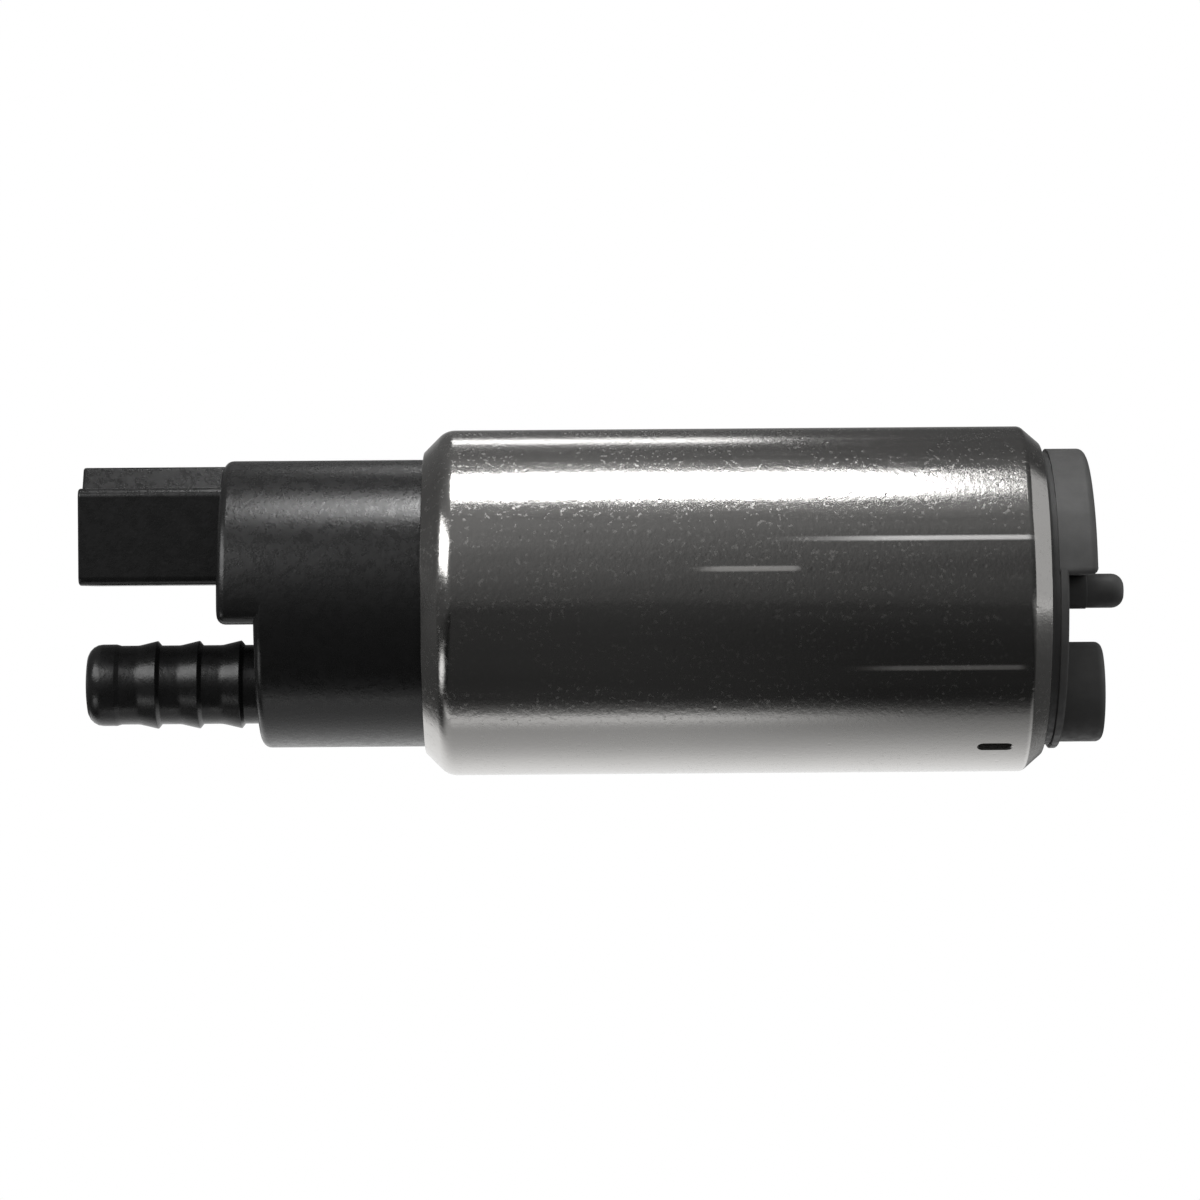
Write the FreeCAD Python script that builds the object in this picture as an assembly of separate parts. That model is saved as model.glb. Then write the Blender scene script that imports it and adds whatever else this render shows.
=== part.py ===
"""Electric in-tank fuel pump, lying along X with its outlet at -X and its inlet at +X.

The origin is on the pump's axis, near the middle of the steel can's straight stretch, and Z is up.
Sizes are in millimetres. A station is a place along X, worked out from the lengths of the stacked pieces.
"""
import FreeCAD, Part
import math
import os

Vector = FreeCAD.Vector
AXIS = Vector(1, 0, 0)

# fits between pieces
seat_gap = 0.05
running_gap = 0.03
end_play = 0.1
slide_gap = 0.1

# steel can, crimped at both ends
can_radius = 19.0
can_wall = 0.7
can_rear_length = 31.65
rear_crimp_angle = 45.0
front_crimp_angle = 41.0
rear_bend_setback = 0.8
rear_lip_gap = 0.2
front_lip_gap = 0.25
slot_length = 3.9
slot_width = 1.3
slot_setback = 2.8
slot_angle = 149.0

# outlet cover: flange in the can, round cap and half-moon step
cap_radius = 15.8
cap_length = 20.4
cap_wall = 2.2
cap_end_wall = 2.55
cap_edge_chamfer = 0.7
step_length = 3.95
step_chord_z = -2.15
step_edge_chamfer = 0.6
flange_length = 6.65

# rubber seal between the flange and the flux ring
seal_thickness = 1.4
seal_width = 1.6

# electrical socket on the half-moon step
socket_length = 15.35
socket_width = 19.0
socket_low_z = 2.15
socket_height = 10.7
socket_wall = 1.3
socket_floor = 1.5
socket_corner_round = 2.3
key_rib_height = 2.1
key_rib_base_width = 9.1
key_rib_top_width = 6.6

# blade terminals in the socket
blade_spacing = 8.0
blade_width = 4.0
blade_thickness = 0.8
blade_setback = 1.45
blade_tip_chamfer = 0.8
foot_thickness = 0.8
foot_reach = 1.4
foot_drop = 1.6

# barbed hose outlet
barb_z = -8.8
barb_length = 19.3
barb_stem_radius = 4.35
barb_crest_radius = 4.85
barb_nose_radius = 4.5
barb_nose_length = 3.2
barb_nose_chamfer = 1.2
barb_count = 3
barb_pitch = 4.6
barb_first_crest = 7.75
barb_rise = 1.9
barb_fall = 0.8
outlet_bore_radius = 2.6

# check valve in the outlet
check_tube_wall = 1.0
check_chamber_radius = 4.2
check_chamber_length = 13.0
check_shoulder = 0.5
check_seat_length = 2.0
check_seat_bore = 2.0
check_head_radius = 3.3
check_head_length = 2.0
check_stem_radius = 0.95
check_stem_reach = 1.2
check_guide_length = 1.8
check_guide_hub_wall = 0.65
check_spoke_width = 1.1
check_spoke_count = 3
check_spring_radius = 2.2
check_spring_wire = 0.5

# brush holder, brushes and their springs and leads
holder_thickness = 3.6
holder_recess = 0.6
holder_port_inner = 8.2
holder_port_outer = 12.2
holder_port_sweep = 60.0
brush_offset = 7.0
brush_width = 4.0
brush_height = 6.0
brush_length = 7.6
brush_reach = 1.6
brush_chamfer = 0.4
tunnel_wall = 0.9
tunnel_spring_room = 7.5
tunnel_back_wall = 0.8
lead_hole_radius = 0.7
lead_radius = 0.35
lead_tail = 0.2
brush_spring_radius = 1.6
brush_spring_wire = 0.4

# interference chokes between the blades and the brushes
choke_core_radius = 1.5
choke_wire_build = 1.0
choke_bare_end = 0.7

# shaft and its bushes
shaft_radius = 2.0
shaft_flat_depth = 0.45
shaft_end_chamfer = 0.3
bush_wall = 1.97
rear_bush_length = 4.6
front_bush_length = 5.8
bush_recess = 0.2
hub_wall = 1.0
hub_back_wall = 0.8

# flat-faced commutator
segment_count = 8
segment_thickness = 1.6
segment_slit = 0.6
segment_inner_radius = 4.3
segment_margin = 0.1
segment_hook_width = 1.4
segment_hook_reach = 0.8
commutator_base_thickness = 2.8
commutator_hub_wall = 1.8

# wound armature
commutator_gap = 0.6
winding_overhang = 4.4
winding_sides = 16
stack_length = 25.2
tooth_width = 2.6
tooth_tip = 1.2
slot_mouth = 1.4
slot_bottom_radius = 5.6
slot_liner = 0.25
winding_bore_radius = 3.4

# magnets in their flux ring
flux_ring_wall = 2.0
flux_ring_slit = 0.5
magnet_thickness = 3.6
magnet_overhang = 2.0
magnet_sweep = 130.0
air_gap = 0.5
clip_thickness = 0.6
clip_length = 20.0
clip_leg = 2.6

# turbine pump stage
pump_gap = 1.79
housing_thickness = 7.5
recess_depth = 3.8
rim_gap = 0.2
rim_wall = 2.65
channel_depth = 1.6
channel_width = 3.0
channel_start = 262.0
channel_sweep = 312.0
port_radius = 1.5
vane_count = 29
vane_pocket_length = 2.5
vane_pocket_depth = 1.35
vane_thickness = 1.05

# inlet cover
inlet_shoulder_length = 3.26
nose_radius = 16.5
nose_length = 3.95
half_moon_height = 2.9
half_moon_edge_chamfer = 0.4
half_moon_chord_z = 2.5
inlet_tube_radius = 5.5
inlet_tube_wall = 1.5
inlet_tube_z = -10.3
inlet_tube_length = 5.05
inlet_tube_chamfer = 0.5
inlet_floor = 2.9
peg_radius = 1.875
peg_collar_radius = 2.1
peg_y = -5.0
peg_z = 0.8
peg_length = 7.0
peg_end_chamfer = 0.8
pad_radius = 2.5
pad_thickness = 1.2
pad_pocket_depth = 3.3

# stations along X, from the outlet to the inlet
rear_corner_x = -can_rear_length
cap_end_x = rear_corner_x - cap_length
step_end_x = cap_end_x - step_length
socket_end_x = step_end_x - socket_length
barb_tip_x = cap_end_x - barb_length
cavity_end_x = cap_end_x + cap_end_wall
cover_front_x = rear_corner_x + flange_length
flux_start_x = cover_front_x + seal_thickness
holder_front_x = cover_front_x - holder_recess
holder_back_x = holder_front_x - holder_thickness
commutator_face_x = holder_front_x + brush_reach
brush_face_x = commutator_face_x - end_play
brush_back_x = brush_face_x - brush_length
tunnel_floor_x = brush_back_x - tunnel_spring_room
tunnel_back_x = tunnel_floor_x - tunnel_back_wall
choke_front_x = tunnel_back_x - lead_tail - end_play
foot_front_x = cavity_end_x + end_play + foot_thickness
rear_bush_front_x = holder_front_x - bush_recess
rear_bush_back_x = rear_bush_front_x - rear_bush_length
hub_back_x = rear_bush_back_x - hub_back_wall
commutator_hub_x = rear_bush_front_x + end_play
segment_back_x = commutator_face_x + segment_thickness
base_back_x = segment_back_x + commutator_base_thickness
winding_rear_x = base_back_x + commutator_gap
stack_start_x = winding_rear_x + winding_overhang
stack_end_x = stack_start_x + stack_length
winding_front_x = stack_end_x + winding_overhang
housing_start_x = winding_front_x + pump_gap
recess_x = housing_start_x + housing_thickness
inlet_joint_x = recess_x + recess_depth
front_corner_x = inlet_joint_x + inlet_shoulder_length
plate_x = front_corner_x + nose_length
tube_end_x = plate_x + inlet_tube_length
front_bush_start_x = housing_start_x + bush_recess
pad_front_x = inlet_joint_x + pad_pocket_depth
shaft_end_x = pad_front_x - pad_thickness - end_play
shaft_start_x = rear_bush_back_x + end_play
magnet_start_x = stack_start_x - magnet_overhang
magnet_end_x = stack_end_x + magnet_overhang

# radii that follow from the pieces around them
flange_radius = can_radius - can_wall - seat_gap
cavity_radius = cap_radius - cap_wall
flux_inner_radius = flange_radius - flux_ring_wall
magnet_outer_radius = flux_inner_radius - seat_gap
magnet_inner_radius = magnet_outer_radius - magnet_thickness
armature_radius = magnet_inner_radius - air_gap
slot_top_radius = armature_radius - tooth_tip
bush_bore_radius = shaft_radius + running_gap
bush_radius = bush_bore_radius + bush_wall
bush_seat_radius = bush_radius + running_gap
bored_radius = shaft_radius + running_gap
commutator_hub_radius = shaft_radius + commutator_hub_wall
commutator_radius = math.hypot(brush_offset + brush_width / 2, brush_height / 2) + segment_margin
recess_radius = flange_radius - rim_wall
impeller_radius = recess_radius - rim_gap
channel_inner_radius = recess_radius - channel_width
channel_middle_radius = recess_radius - channel_width / 2
check_tube_radius = check_chamber_radius + check_tube_wall
check_floor_x = cavity_end_x + check_shoulder
check_mouth_x = check_floor_x + check_chamber_length
check_seat_x = check_mouth_x - check_seat_length
check_head_x = check_seat_x - seat_gap
check_head_back_x = check_head_x - check_head_length
check_guide_x = check_floor_x + check_guide_length
check_guide_bore = check_stem_radius + slide_gap

# heights that follow from the pieces around them
socket_top_z = socket_low_z + socket_height
blade_z = socket_low_z + socket_height / 2


def rod(radius, start, end, y=0.0, z=0.0):
    """A round bar along X between two stations."""
    return Part.makeCylinder(radius, end - start, Vector(start, y, z), AXIS)


def sleeve(outer, inner, start, end, y=0.0, z=0.0):
    """A straight tube along X between two stations."""
    return rod(outer, start, end, y, z).cut(rod(inner, start, end, y, z))


def block(low, high):
    """A box between two opposite corners."""
    corner = Vector(*low)
    size = Vector(*high) - corner
    return Part.makeBox(size.x, size.y, size.z, corner)


def turned(outline, y=0.0, z=0.0, start=0.0, sweep=360.0):
    """A solid turned about an axis along X from (station, radius) corners, from an angle off +Y."""
    corners = [Vector(x, y + radius, z) for x, radius in outline]
    face = Part.Face(Part.makePolygon(corners + corners[:1]))
    centre = Vector(0, y, z)
    face.rotate(centre, AXIS, start)
    return face.revolve(centre, AXIS, sweep)


def extruded(corners, start, end):
    """A prism along X from (y, z) corners."""
    points = [Vector(start, y, z) for y, z in corners]
    return Part.Face(Part.makePolygon(points + points[:1])).extrude(Vector(end - start, 0, 0))


def on_ring(radius, degrees):
    """The y and z of a place on a circle about the pump's axis, by its angle from +Y."""
    angle = math.radians(degrees)
    return radius * math.cos(angle), radius * math.sin(angle)


def about_axis(shape, degrees):
    """A copy turned about the pump's axis."""
    copy = shape.copy()
    copy.rotate(Vector(0, 0, 0), AXIS, degrees)
    return copy


def blunted(radius, chamfer, root, end, y=0.0, z=0.0):
    """A round bar along X, either way, from its root to its chamfered end."""
    shoulder = end + math.copysign(chamfer, root - end)
    return turned([(root, 0), (root, radius), (shoulder, radius), (end, radius - chamfer), (end, 0)], y, z)


def crimp_reach(radius, angle, inset):
    """How far past the can's corner a crimp cone has come down to a radius."""
    slope = math.radians(angle)
    return (can_radius - radius - inset / math.cos(slope)) / math.tan(slope)


def pump_shell():
    """The drawn steel can, rolled over the covers at both ends, with a slot punched near its inlet end."""
    rear = math.radians(rear_crimp_angle)
    lip_radius = cap_radius + rear_lip_gap
    rear_lip_x = rear_corner_x - crimp_reach(lip_radius + can_wall * math.cos(rear), rear_crimp_angle, 0)
    front = math.radians(front_crimp_angle)
    front_lip_radius = nose_radius + front_lip_gap
    shell = turned([
        (rear_lip_x, lip_radius + can_wall * math.cos(rear)),
        (rear_corner_x - rear_bend_setback * math.cos(rear), can_radius - rear_bend_setback * math.sin(rear)),
        (rear_corner_x + rear_bend_setback, can_radius),
        (front_corner_x, can_radius),
        (front_corner_x + crimp_reach(front_lip_radius, front_crimp_angle, 0), front_lip_radius),
        (front_corner_x + crimp_reach(front_lip_radius, front_crimp_angle, can_wall), front_lip_radius),
        (front_corner_x - can_wall * math.tan(front / 2), can_radius - can_wall),
        (rear_corner_x + can_wall * math.tan(rear / 2), can_radius - can_wall),
        (rear_lip_x + can_wall * math.sin(rear), lip_radius),
    ])
    return shell.cut(punched_slot())


def punched_slot():
    """The tool that cuts the rounded slot through the can's wall near the inlet end."""
    half_run = (slot_length - slot_width) / 2
    middle = front_corner_x - slot_setback
    inside = can_radius - 2 * can_wall
    outside = can_radius + can_wall
    bar = block((middle - half_run, -slot_width / 2, inside), (middle + half_run, slot_width / 2, outside))
    ends = [Part.makeCylinder(slot_width / 2, outside - inside, Vector(middle + side * half_run, 0, inside))
            for side in (-1, 1)]
    return about_axis(bar.fuse(ends), slot_angle)


def outlet_cover():
    """The black moulded cap with its flange, half-moon step, socket shroud and barbed outlet."""
    body = cover_body().fuse([half_moon_step(), socket_shroud()]).removeSplitter()
    body = body.cut([rod(cavity_radius, cavity_end_x, cover_front_x), socket_hollow()])
    tube = rod(check_tube_radius, cavity_end_x - check_shoulder, check_mouth_x, 0, barb_z)
    inside = rod(cap_radius - seat_gap, cap_end_x + cap_edge_chamfer, cover_front_x)
    body = body.fuse([tube.common(inside), barbed_outlet()])
    chamber = rod(check_chamber_radius, check_floor_x, check_mouth_x, 0, barb_z)
    bore = rod(outlet_bore_radius, barb_tip_x, check_floor_x, 0, barb_z)
    passages = [blade_passage(side) for side in (-1, 1)]
    return body.cut([chamber, bore] + passages).removeSplitter()


def cover_body():
    """The flange under the rolled lip and the round cap behind it, as one turned solid."""
    inset = can_wall + seat_gap
    corner = inset * math.tan(math.radians(rear_crimp_angle) / 2)
    shoulder = crimp_reach(cap_radius, rear_crimp_angle, inset)
    return turned([
        (cover_front_x, 0),
        (cover_front_x, flange_radius),
        (rear_corner_x + corner, flange_radius),
        (rear_corner_x - shoulder, cap_radius),
        (cap_end_x + cap_edge_chamfer, cap_radius),
        (cap_end_x, cap_radius - cap_edge_chamfer),
        (cap_end_x, 0),
    ])


def half_moon_step():
    """The raised half-moon on the cap's end that carries the socket."""
    start = cap_end_x + cap_edge_chamfer
    disc = blunted(cap_radius, step_edge_chamfer, start, step_end_x)
    return disc.common(block((step_end_x, -can_radius, step_chord_z), (start, can_radius, can_radius)))


def socket_shroud():
    """The outside of the socket: a round-cornered box with a key rib along its top."""
    start = step_end_x + step_edge_chamfer
    box = block((socket_end_x, -socket_width / 2, socket_low_z), (start, socket_width / 2, socket_top_z))
    corners = [edge for edge in box.Edges if edge.BoundBox.XLength > socket_length]
    box = box.makeFillet(socket_corner_round, corners)
    rib_top = socket_top_z + key_rib_height
    rib = extruded([
        (-key_rib_base_width / 2, socket_top_z - socket_wall / 2),
        (-key_rib_base_width / 2, socket_top_z),
        (-key_rib_top_width / 2, rib_top),
        (key_rib_top_width / 2, rib_top),
        (key_rib_base_width / 2, socket_top_z),
        (key_rib_base_width / 2, socket_top_z - socket_wall / 2),
    ], socket_end_x, start)
    return box.fuse(rib)


def socket_hollow():
    """The space inside the socket that the mating plug enters."""
    half_wide = socket_width / 2 - socket_wall
    return block((socket_end_x, -half_wide, socket_low_z + socket_wall),
                 (step_end_x - socket_floor, half_wide, socket_top_z - socket_wall))


def barbed_outlet():
    """The hose outlet, turned about its own axis, with a barb repeated along its stem."""
    outline = [
        (barb_tip_x, 0),
        (barb_tip_x, barb_nose_radius - barb_nose_chamfer),
        (barb_tip_x + barb_nose_chamfer, barb_nose_radius),
        (barb_tip_x + barb_nose_length, barb_nose_radius),
        (barb_tip_x + barb_nose_length + barb_fall / 2, barb_stem_radius),
    ]
    for index in range(barb_count):
        crest = barb_tip_x + barb_first_crest + index * barb_pitch
        outline += [
            (crest - barb_rise, barb_stem_radius),
            (crest, barb_crest_radius),
            (crest + barb_fall, barb_stem_radius),
        ]
    root = cap_end_x + cap_edge_chamfer
    return turned(outline + [(root, barb_stem_radius), (root, 0)], 0, barb_z)


def blade_passage(side):
    """The slit through the cover that holds one blade."""
    middle = side * blade_spacing / 2
    half_thick = blade_thickness / 2 + seat_gap
    half_wide = blade_width / 2 + seat_gap
    return block((step_end_x - socket_floor, middle - half_thick, blade_z - half_wide),
                 (cavity_end_x, middle + half_thick, blade_z + half_wide))


def outlet_seal():
    """The rubber ring of square section, squeezed between the cover's flange and the flux ring."""
    return sleeve(flange_radius, flange_radius - seal_width, cover_front_x, flux_start_x)


def terminal_blade(side):
    """One blade of the socket with its foot turned over to the choke."""
    low = blade_z - blade_width / 2
    high = blade_z + blade_width / 2
    tip = socket_end_x + blade_setback
    back = foot_front_x - foot_thickness
    outline = [
        (back, low),
        (tip + blade_tip_chamfer, low),
        (tip, low + blade_tip_chamfer),
        (tip, high - blade_tip_chamfer),
        (tip + blade_tip_chamfer, high),
        (back, high),
    ]
    inner_y = side * blade_spacing / 2 - blade_thickness / 2
    points = [Vector(x, inner_y, z) for x, z in outline]
    blade = Part.Face(Part.makePolygon(points + points[:1])).extrude(Vector(0, blade_thickness, 0))
    near = blade_spacing / 2 - blade_thickness / 2
    far = brush_offset + foot_reach
    edges_y = sorted((side * near, side * far))
    foot = block((back, edges_y[0], -foot_drop), (foot_front_x, edges_y[1], high))
    return blade.fuse(foot).removeSplitter()


def choke_core(side):
    """The ferrite rod of one interference choke."""
    return rod(choke_core_radius, foot_front_x, choke_front_x, side * brush_offset)


def choke_winding(side):
    """The closed winding on one choke."""
    inner = choke_core_radius + running_gap
    return sleeve(inner + choke_wire_build, inner, foot_front_x + choke_bare_end,
                  choke_front_x - choke_bare_end, side * brush_offset)


def brush_holder():
    """The moulded plate with two brush tunnels, the rear bush's hub and two fuel ports."""
    plate = rod(cavity_radius - seat_gap, holder_back_x, holder_front_x)
    hub = rod(bush_seat_radius + hub_wall, hub_back_x, holder_front_x)
    shells = [tunnel_block(side, tunnel_wall, tunnel_back_x) for side in (-1, 1)]
    hollows = [tunnel_block(side, 0, tunnel_floor_x) for side in (-1, 1)]
    lead_holes = [rod(lead_hole_radius, tunnel_back_x, tunnel_floor_x, side * brush_offset)
                  for side in (-1, 1)]
    seat = rod(bush_seat_radius, rear_bush_back_x, holder_front_x)
    ports = [ring_sector(holder_port_outer, holder_port_inner, holder_back_x, holder_front_x,
                         middle, holder_port_sweep) for middle in (90, 270)]
    return plate.fuse([hub] + shells).cut(hollows + lead_holes + ports + [seat]).removeSplitter()


def tunnel_block(side, wall, back):
    """A brush tunnel's box: its hollow, or its outside with a wall added."""
    half_wide = brush_width / 2 + slide_gap + wall
    half_high = brush_height / 2 + slide_gap + wall
    middle = side * brush_offset
    return block((back, middle - half_wide, -half_high), (holder_front_x, middle + half_wide, half_high))


def brush(side):
    """One carbon brush, chamfered round the end that enters its tunnel."""
    middle = side * brush_offset
    body = block((brush_back_x, middle - brush_width / 2, -brush_height / 2),
                 (brush_face_x, middle + brush_width / 2, brush_height / 2))
    rear = [edge for edge in body.Edges if edge.BoundBox.XMax < brush_back_x + brush_chamfer]
    return body.makeChamfer(brush_chamfer, rear)


def brush_spring(side):
    """The room that one brush's coil spring takes up, as a closed sleeve."""
    return sleeve(brush_spring_radius + brush_spring_wire / 2, brush_spring_radius - brush_spring_wire / 2,
                  tunnel_floor_x, brush_back_x, side * brush_offset)


def brush_lead(side):
    """The flexible lead from one brush, through its spring, to the choke."""
    return rod(lead_radius, tunnel_back_x - lead_tail, brush_back_x, side * brush_offset)


def bush(start, length):
    """A sintered bronze bush for the shaft."""
    return sleeve(bush_radius, bush_bore_radius, start, start + length)


def check_valve_seat():
    """The ring at the valve chamber's mouth that the poppet closes on."""
    return sleeve(check_chamber_radius - seat_gap, check_seat_bore, check_seat_x, check_mouth_x, 0, barb_z)


def check_valve_guide():
    """The spoked guide for the poppet's stem at the chamber's floor."""
    hub = rod(check_guide_bore + check_guide_hub_wall, check_floor_x, check_guide_x, 0, barb_z)
    rim = rod(check_chamber_radius - seat_gap, check_floor_x, check_guide_x, 0, barb_z)
    spokes = []
    for index in range(check_spoke_count):
        spoke = block((check_floor_x, 0, barb_z - check_spoke_width / 2),
                      (check_guide_x, check_chamber_radius, barb_z + check_spoke_width / 2))
        spoke.rotate(Vector(0, 0, barb_z), AXIS, 90 + index * 360 / check_spoke_count)
        spokes.append(spoke.common(rim))
    return hub.fuse(spokes).cut(rod(check_guide_bore, check_floor_x, check_guide_x, 0, barb_z))


def check_valve_poppet():
    """The mushroom poppet: a bevelled head on a stem that runs in the guide."""
    shoulder = check_head_back_x + check_head_length / 3
    return turned([
        (check_head_x, 0),
        (check_head_x, check_seat_bore + check_head_length / 2),
        (shoulder, check_head_radius),
        (check_head_back_x, check_head_radius),
        (check_head_back_x, check_stem_radius),
        (check_floor_x - check_stem_reach, check_stem_radius),
        (check_floor_x - check_stem_reach, 0),
    ], 0, barb_z)


def check_valve_spring():
    """The room that the valve's light coil spring takes up, as a closed sleeve."""
    return sleeve(check_spring_radius + check_spring_wire / 2, check_spring_radius - check_spring_wire / 2,
                  check_guide_x, check_head_back_x, 0, barb_z)


def flux_ring():
    """The steel ring, rolled from strip, that closes the magnets' circuit and spaces the covers."""
    ring = sleeve(flange_radius, flux_inner_radius, flux_start_x, housing_start_x)
    slit = block((flux_start_x, 0, -flux_ring_slit / 2), (housing_start_x, can_radius, flux_ring_slit / 2))
    return ring.cut(slit)


def ring_sector(outer, inner, start, end, middle_angle, sweep):
    """A curved bar: the part of a tube within an angle."""
    corners = [(start, inner), (end, inner), (end, outer), (start, outer)]
    return turned(corners, start=middle_angle - sweep / 2, sweep=sweep)


def magnet(middle_angle):
    """One arc magnet."""
    return ring_sector(magnet_outer_radius, magnet_inner_radius, magnet_start_x, magnet_end_x,
                       middle_angle, magnet_sweep)


def magnet_clip(middle_angle):
    """A channel-shaped spring clip that spreads two magnet ends apart."""
    edge_gap = math.degrees(seat_gap / magnet_inner_radius)
    sweep = 180 - magnet_sweep - 2 * edge_gap
    centre = (magnet_start_x + magnet_end_x) / 2
    start = centre - clip_length / 2
    end = centre + clip_length / 2
    outside = ring_sector(magnet_outer_radius, magnet_outer_radius - clip_leg, start, end, middle_angle, sweep)
    web_radius = magnet_outer_radius - clip_thickness
    leg_angle = math.degrees(clip_thickness / web_radius)
    inside = ring_sector(web_radius, magnet_inner_radius - clip_leg, start, end, middle_angle,
                         sweep - 2 * leg_angle)
    return outside.cut(inside)


def shaft():
    """The rotor's shaft, with a flat that drives the impeller."""
    bar = rod(shaft_radius, shaft_start_x, shaft_end_x)
    bar = bar.makeChamfer(shaft_end_chamfer, [edge for edge in bar.Edges if len(edge.Vertexes) == 1])
    flat_z = shaft_radius - shaft_flat_depth
    return bar.cut(block((recess_x, -shaft_radius, flat_z), (shaft_end_x, shaft_radius, can_radius)))


def slot_outline(liner):
    """Half-widths of one armature slot at its bottom and top radii, inset by a liner."""
    half_pitch = math.pi / segment_count
    low = slot_bottom_radius + liner
    high = slot_top_radius - liner
    half_low = low * math.sin(half_pitch) - tooth_width / 2 - liner
    half_high = high * math.sin(half_pitch) - tooth_width / 2 - liner
    return [(low, -half_low), (high, -half_high), (high, half_high), (low, half_low)]


def armature_slots(liner, start, end):
    """One prism for each armature slot, between the teeth."""
    prism = extruded(slot_outline(liner), start, end)
    pitch = 360 / segment_count
    return [about_axis(prism, (index + 0.5) * pitch) for index in range(segment_count)]


def lamination_stack():
    """The rotor's steel laminations as one stack: eight teeth with narrow slot mouths."""
    disc = rod(armature_radius, stack_start_x, stack_end_x)
    pitch = 360 / segment_count
    mouth = block((stack_start_x, slot_bottom_radius + tooth_tip, -slot_mouth / 2),
                  (stack_end_x, armature_radius + tooth_tip, slot_mouth / 2))
    mouths = [about_axis(mouth, (index + 0.5) * pitch) for index in range(segment_count)]
    slots = armature_slots(0, stack_start_x, stack_end_x)
    return disc.cut(slots + mouths + [rod(bored_radius, stack_start_x, stack_end_x)])


def armature_winding():
    """The copper winding as one closed solid: bundles in the slots and a many-sided ring at each end."""
    rings = [winding_end(winding_rear_x, stack_start_x), winding_end(stack_end_x, winding_front_x)]
    bundles = armature_slots(slot_liner, stack_start_x, stack_end_x)
    return rings[0].fuse(bundles + rings[1:]).removeSplitter()


def winding_end(start, end):
    """The ring of crossing wires at one end of the stack, with a flat for each wound lump."""
    outlines = []
    for radius in (slot_top_radius - slot_liner, winding_bore_radius):
        corners = [on_ring(radius, index * 360 / winding_sides) for index in range(winding_sides)]
        outlines.append(extruded(corners, start, end))
    return outlines[0].cut(outlines[1])


def commutator_base():
    """The moulded disc and hub that carry the commutator's segments."""
    return turned([
        (commutator_hub_x, bored_radius),
        (commutator_hub_x, commutator_hub_radius),
        (segment_back_x, commutator_hub_radius),
        (segment_back_x, commutator_radius),
        (base_back_x, commutator_radius),
        (base_back_x, bored_radius),
    ])


def commutator_segments():
    """The flat segments that the brushes run on, each with a hook for its wire."""
    pitch = 360 / segment_count
    ring = sleeve(commutator_radius, segment_inner_radius, commutator_face_x, segment_back_x)
    hook = block((commutator_face_x + segment_slit, commutator_radius - segment_hook_reach,
                  -segment_hook_width / 2),
                 (base_back_x - segment_slit, commutator_radius + segment_hook_reach, segment_hook_width / 2))
    hook = hook.cut(rod(commutator_radius + seat_gap, segment_back_x, base_back_x))
    hooks = [about_axis(hook, (index + 0.5) * pitch) for index in range(segment_count)]
    slit = block((commutator_face_x, 0, -segment_slit / 2),
                 (segment_back_x, commutator_radius + segment_hook_reach, segment_slit / 2))
    slits = [about_axis(slit, index * pitch) for index in range(segment_count)]
    return ring.fuse(hooks).cut(slits).removeSplitter()


def flow_channel(start, end):
    """The C-shaped channel that the vanes drive fuel round, broken by the stripper."""
    corners = [(start, channel_inner_radius), (end, channel_inner_radius),
               (end, recess_radius), (start, recess_radius)]
    return turned(corners, start=channel_start, sweep=channel_sweep)


def pump_housing():
    """The pump stage's body: impeller recess, flow channel, outlet port and the front bush's seat."""
    body = rod(flange_radius, housing_start_x, inlet_joint_x)
    recess = rod(recess_radius, recess_x, inlet_joint_x)
    seat = rod(bush_seat_radius, housing_start_x, front_bush_start_x + front_bush_length)
    relief = rod(bush_bore_radius + end_play, housing_start_x, recess_x)
    channel = flow_channel(recess_x - channel_depth, recess_x)
    exit_angle = channel_start + channel_sweep - math.degrees(port_radius / channel_middle_radius)
    port = rod(port_radius, housing_start_x, recess_x, *on_ring(channel_middle_radius, exit_angle))
    return body.cut([recess, seat, relief, channel, port])


def impeller():
    """The turbine wheel: vane pockets round both faces, set half a pitch apart, on a D-shaped bore."""
    back = recess_x + end_play
    front = inlet_joint_x - end_play
    wheel = rod(impeller_radius, back, front)
    pitch = 360 / vane_count
    half_pocket = (2 * math.pi * channel_middle_radius / vane_count - vane_thickness) / 2
    rear_pocket = block((back, impeller_radius - vane_pocket_length, -half_pocket),
                        (back + vane_pocket_depth, can_radius, half_pocket))
    front_pocket = block((front - vane_pocket_depth, impeller_radius - vane_pocket_length, -half_pocket),
                         (front, can_radius, half_pocket))
    cuts = [about_axis(rear_pocket, index * pitch) for index in range(vane_count)]
    cuts += [about_axis(front_pocket, (index + 0.5) * pitch) for index in range(vane_count)]
    bore = rod(bored_radius, back, front)
    flat_z = shaft_radius - shaft_flat_depth + running_gap
    cuts.append(bore.cut(block((back, -can_radius, flat_z), (front, can_radius, can_radius))))
    return wheel.cut(cuts)


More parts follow.
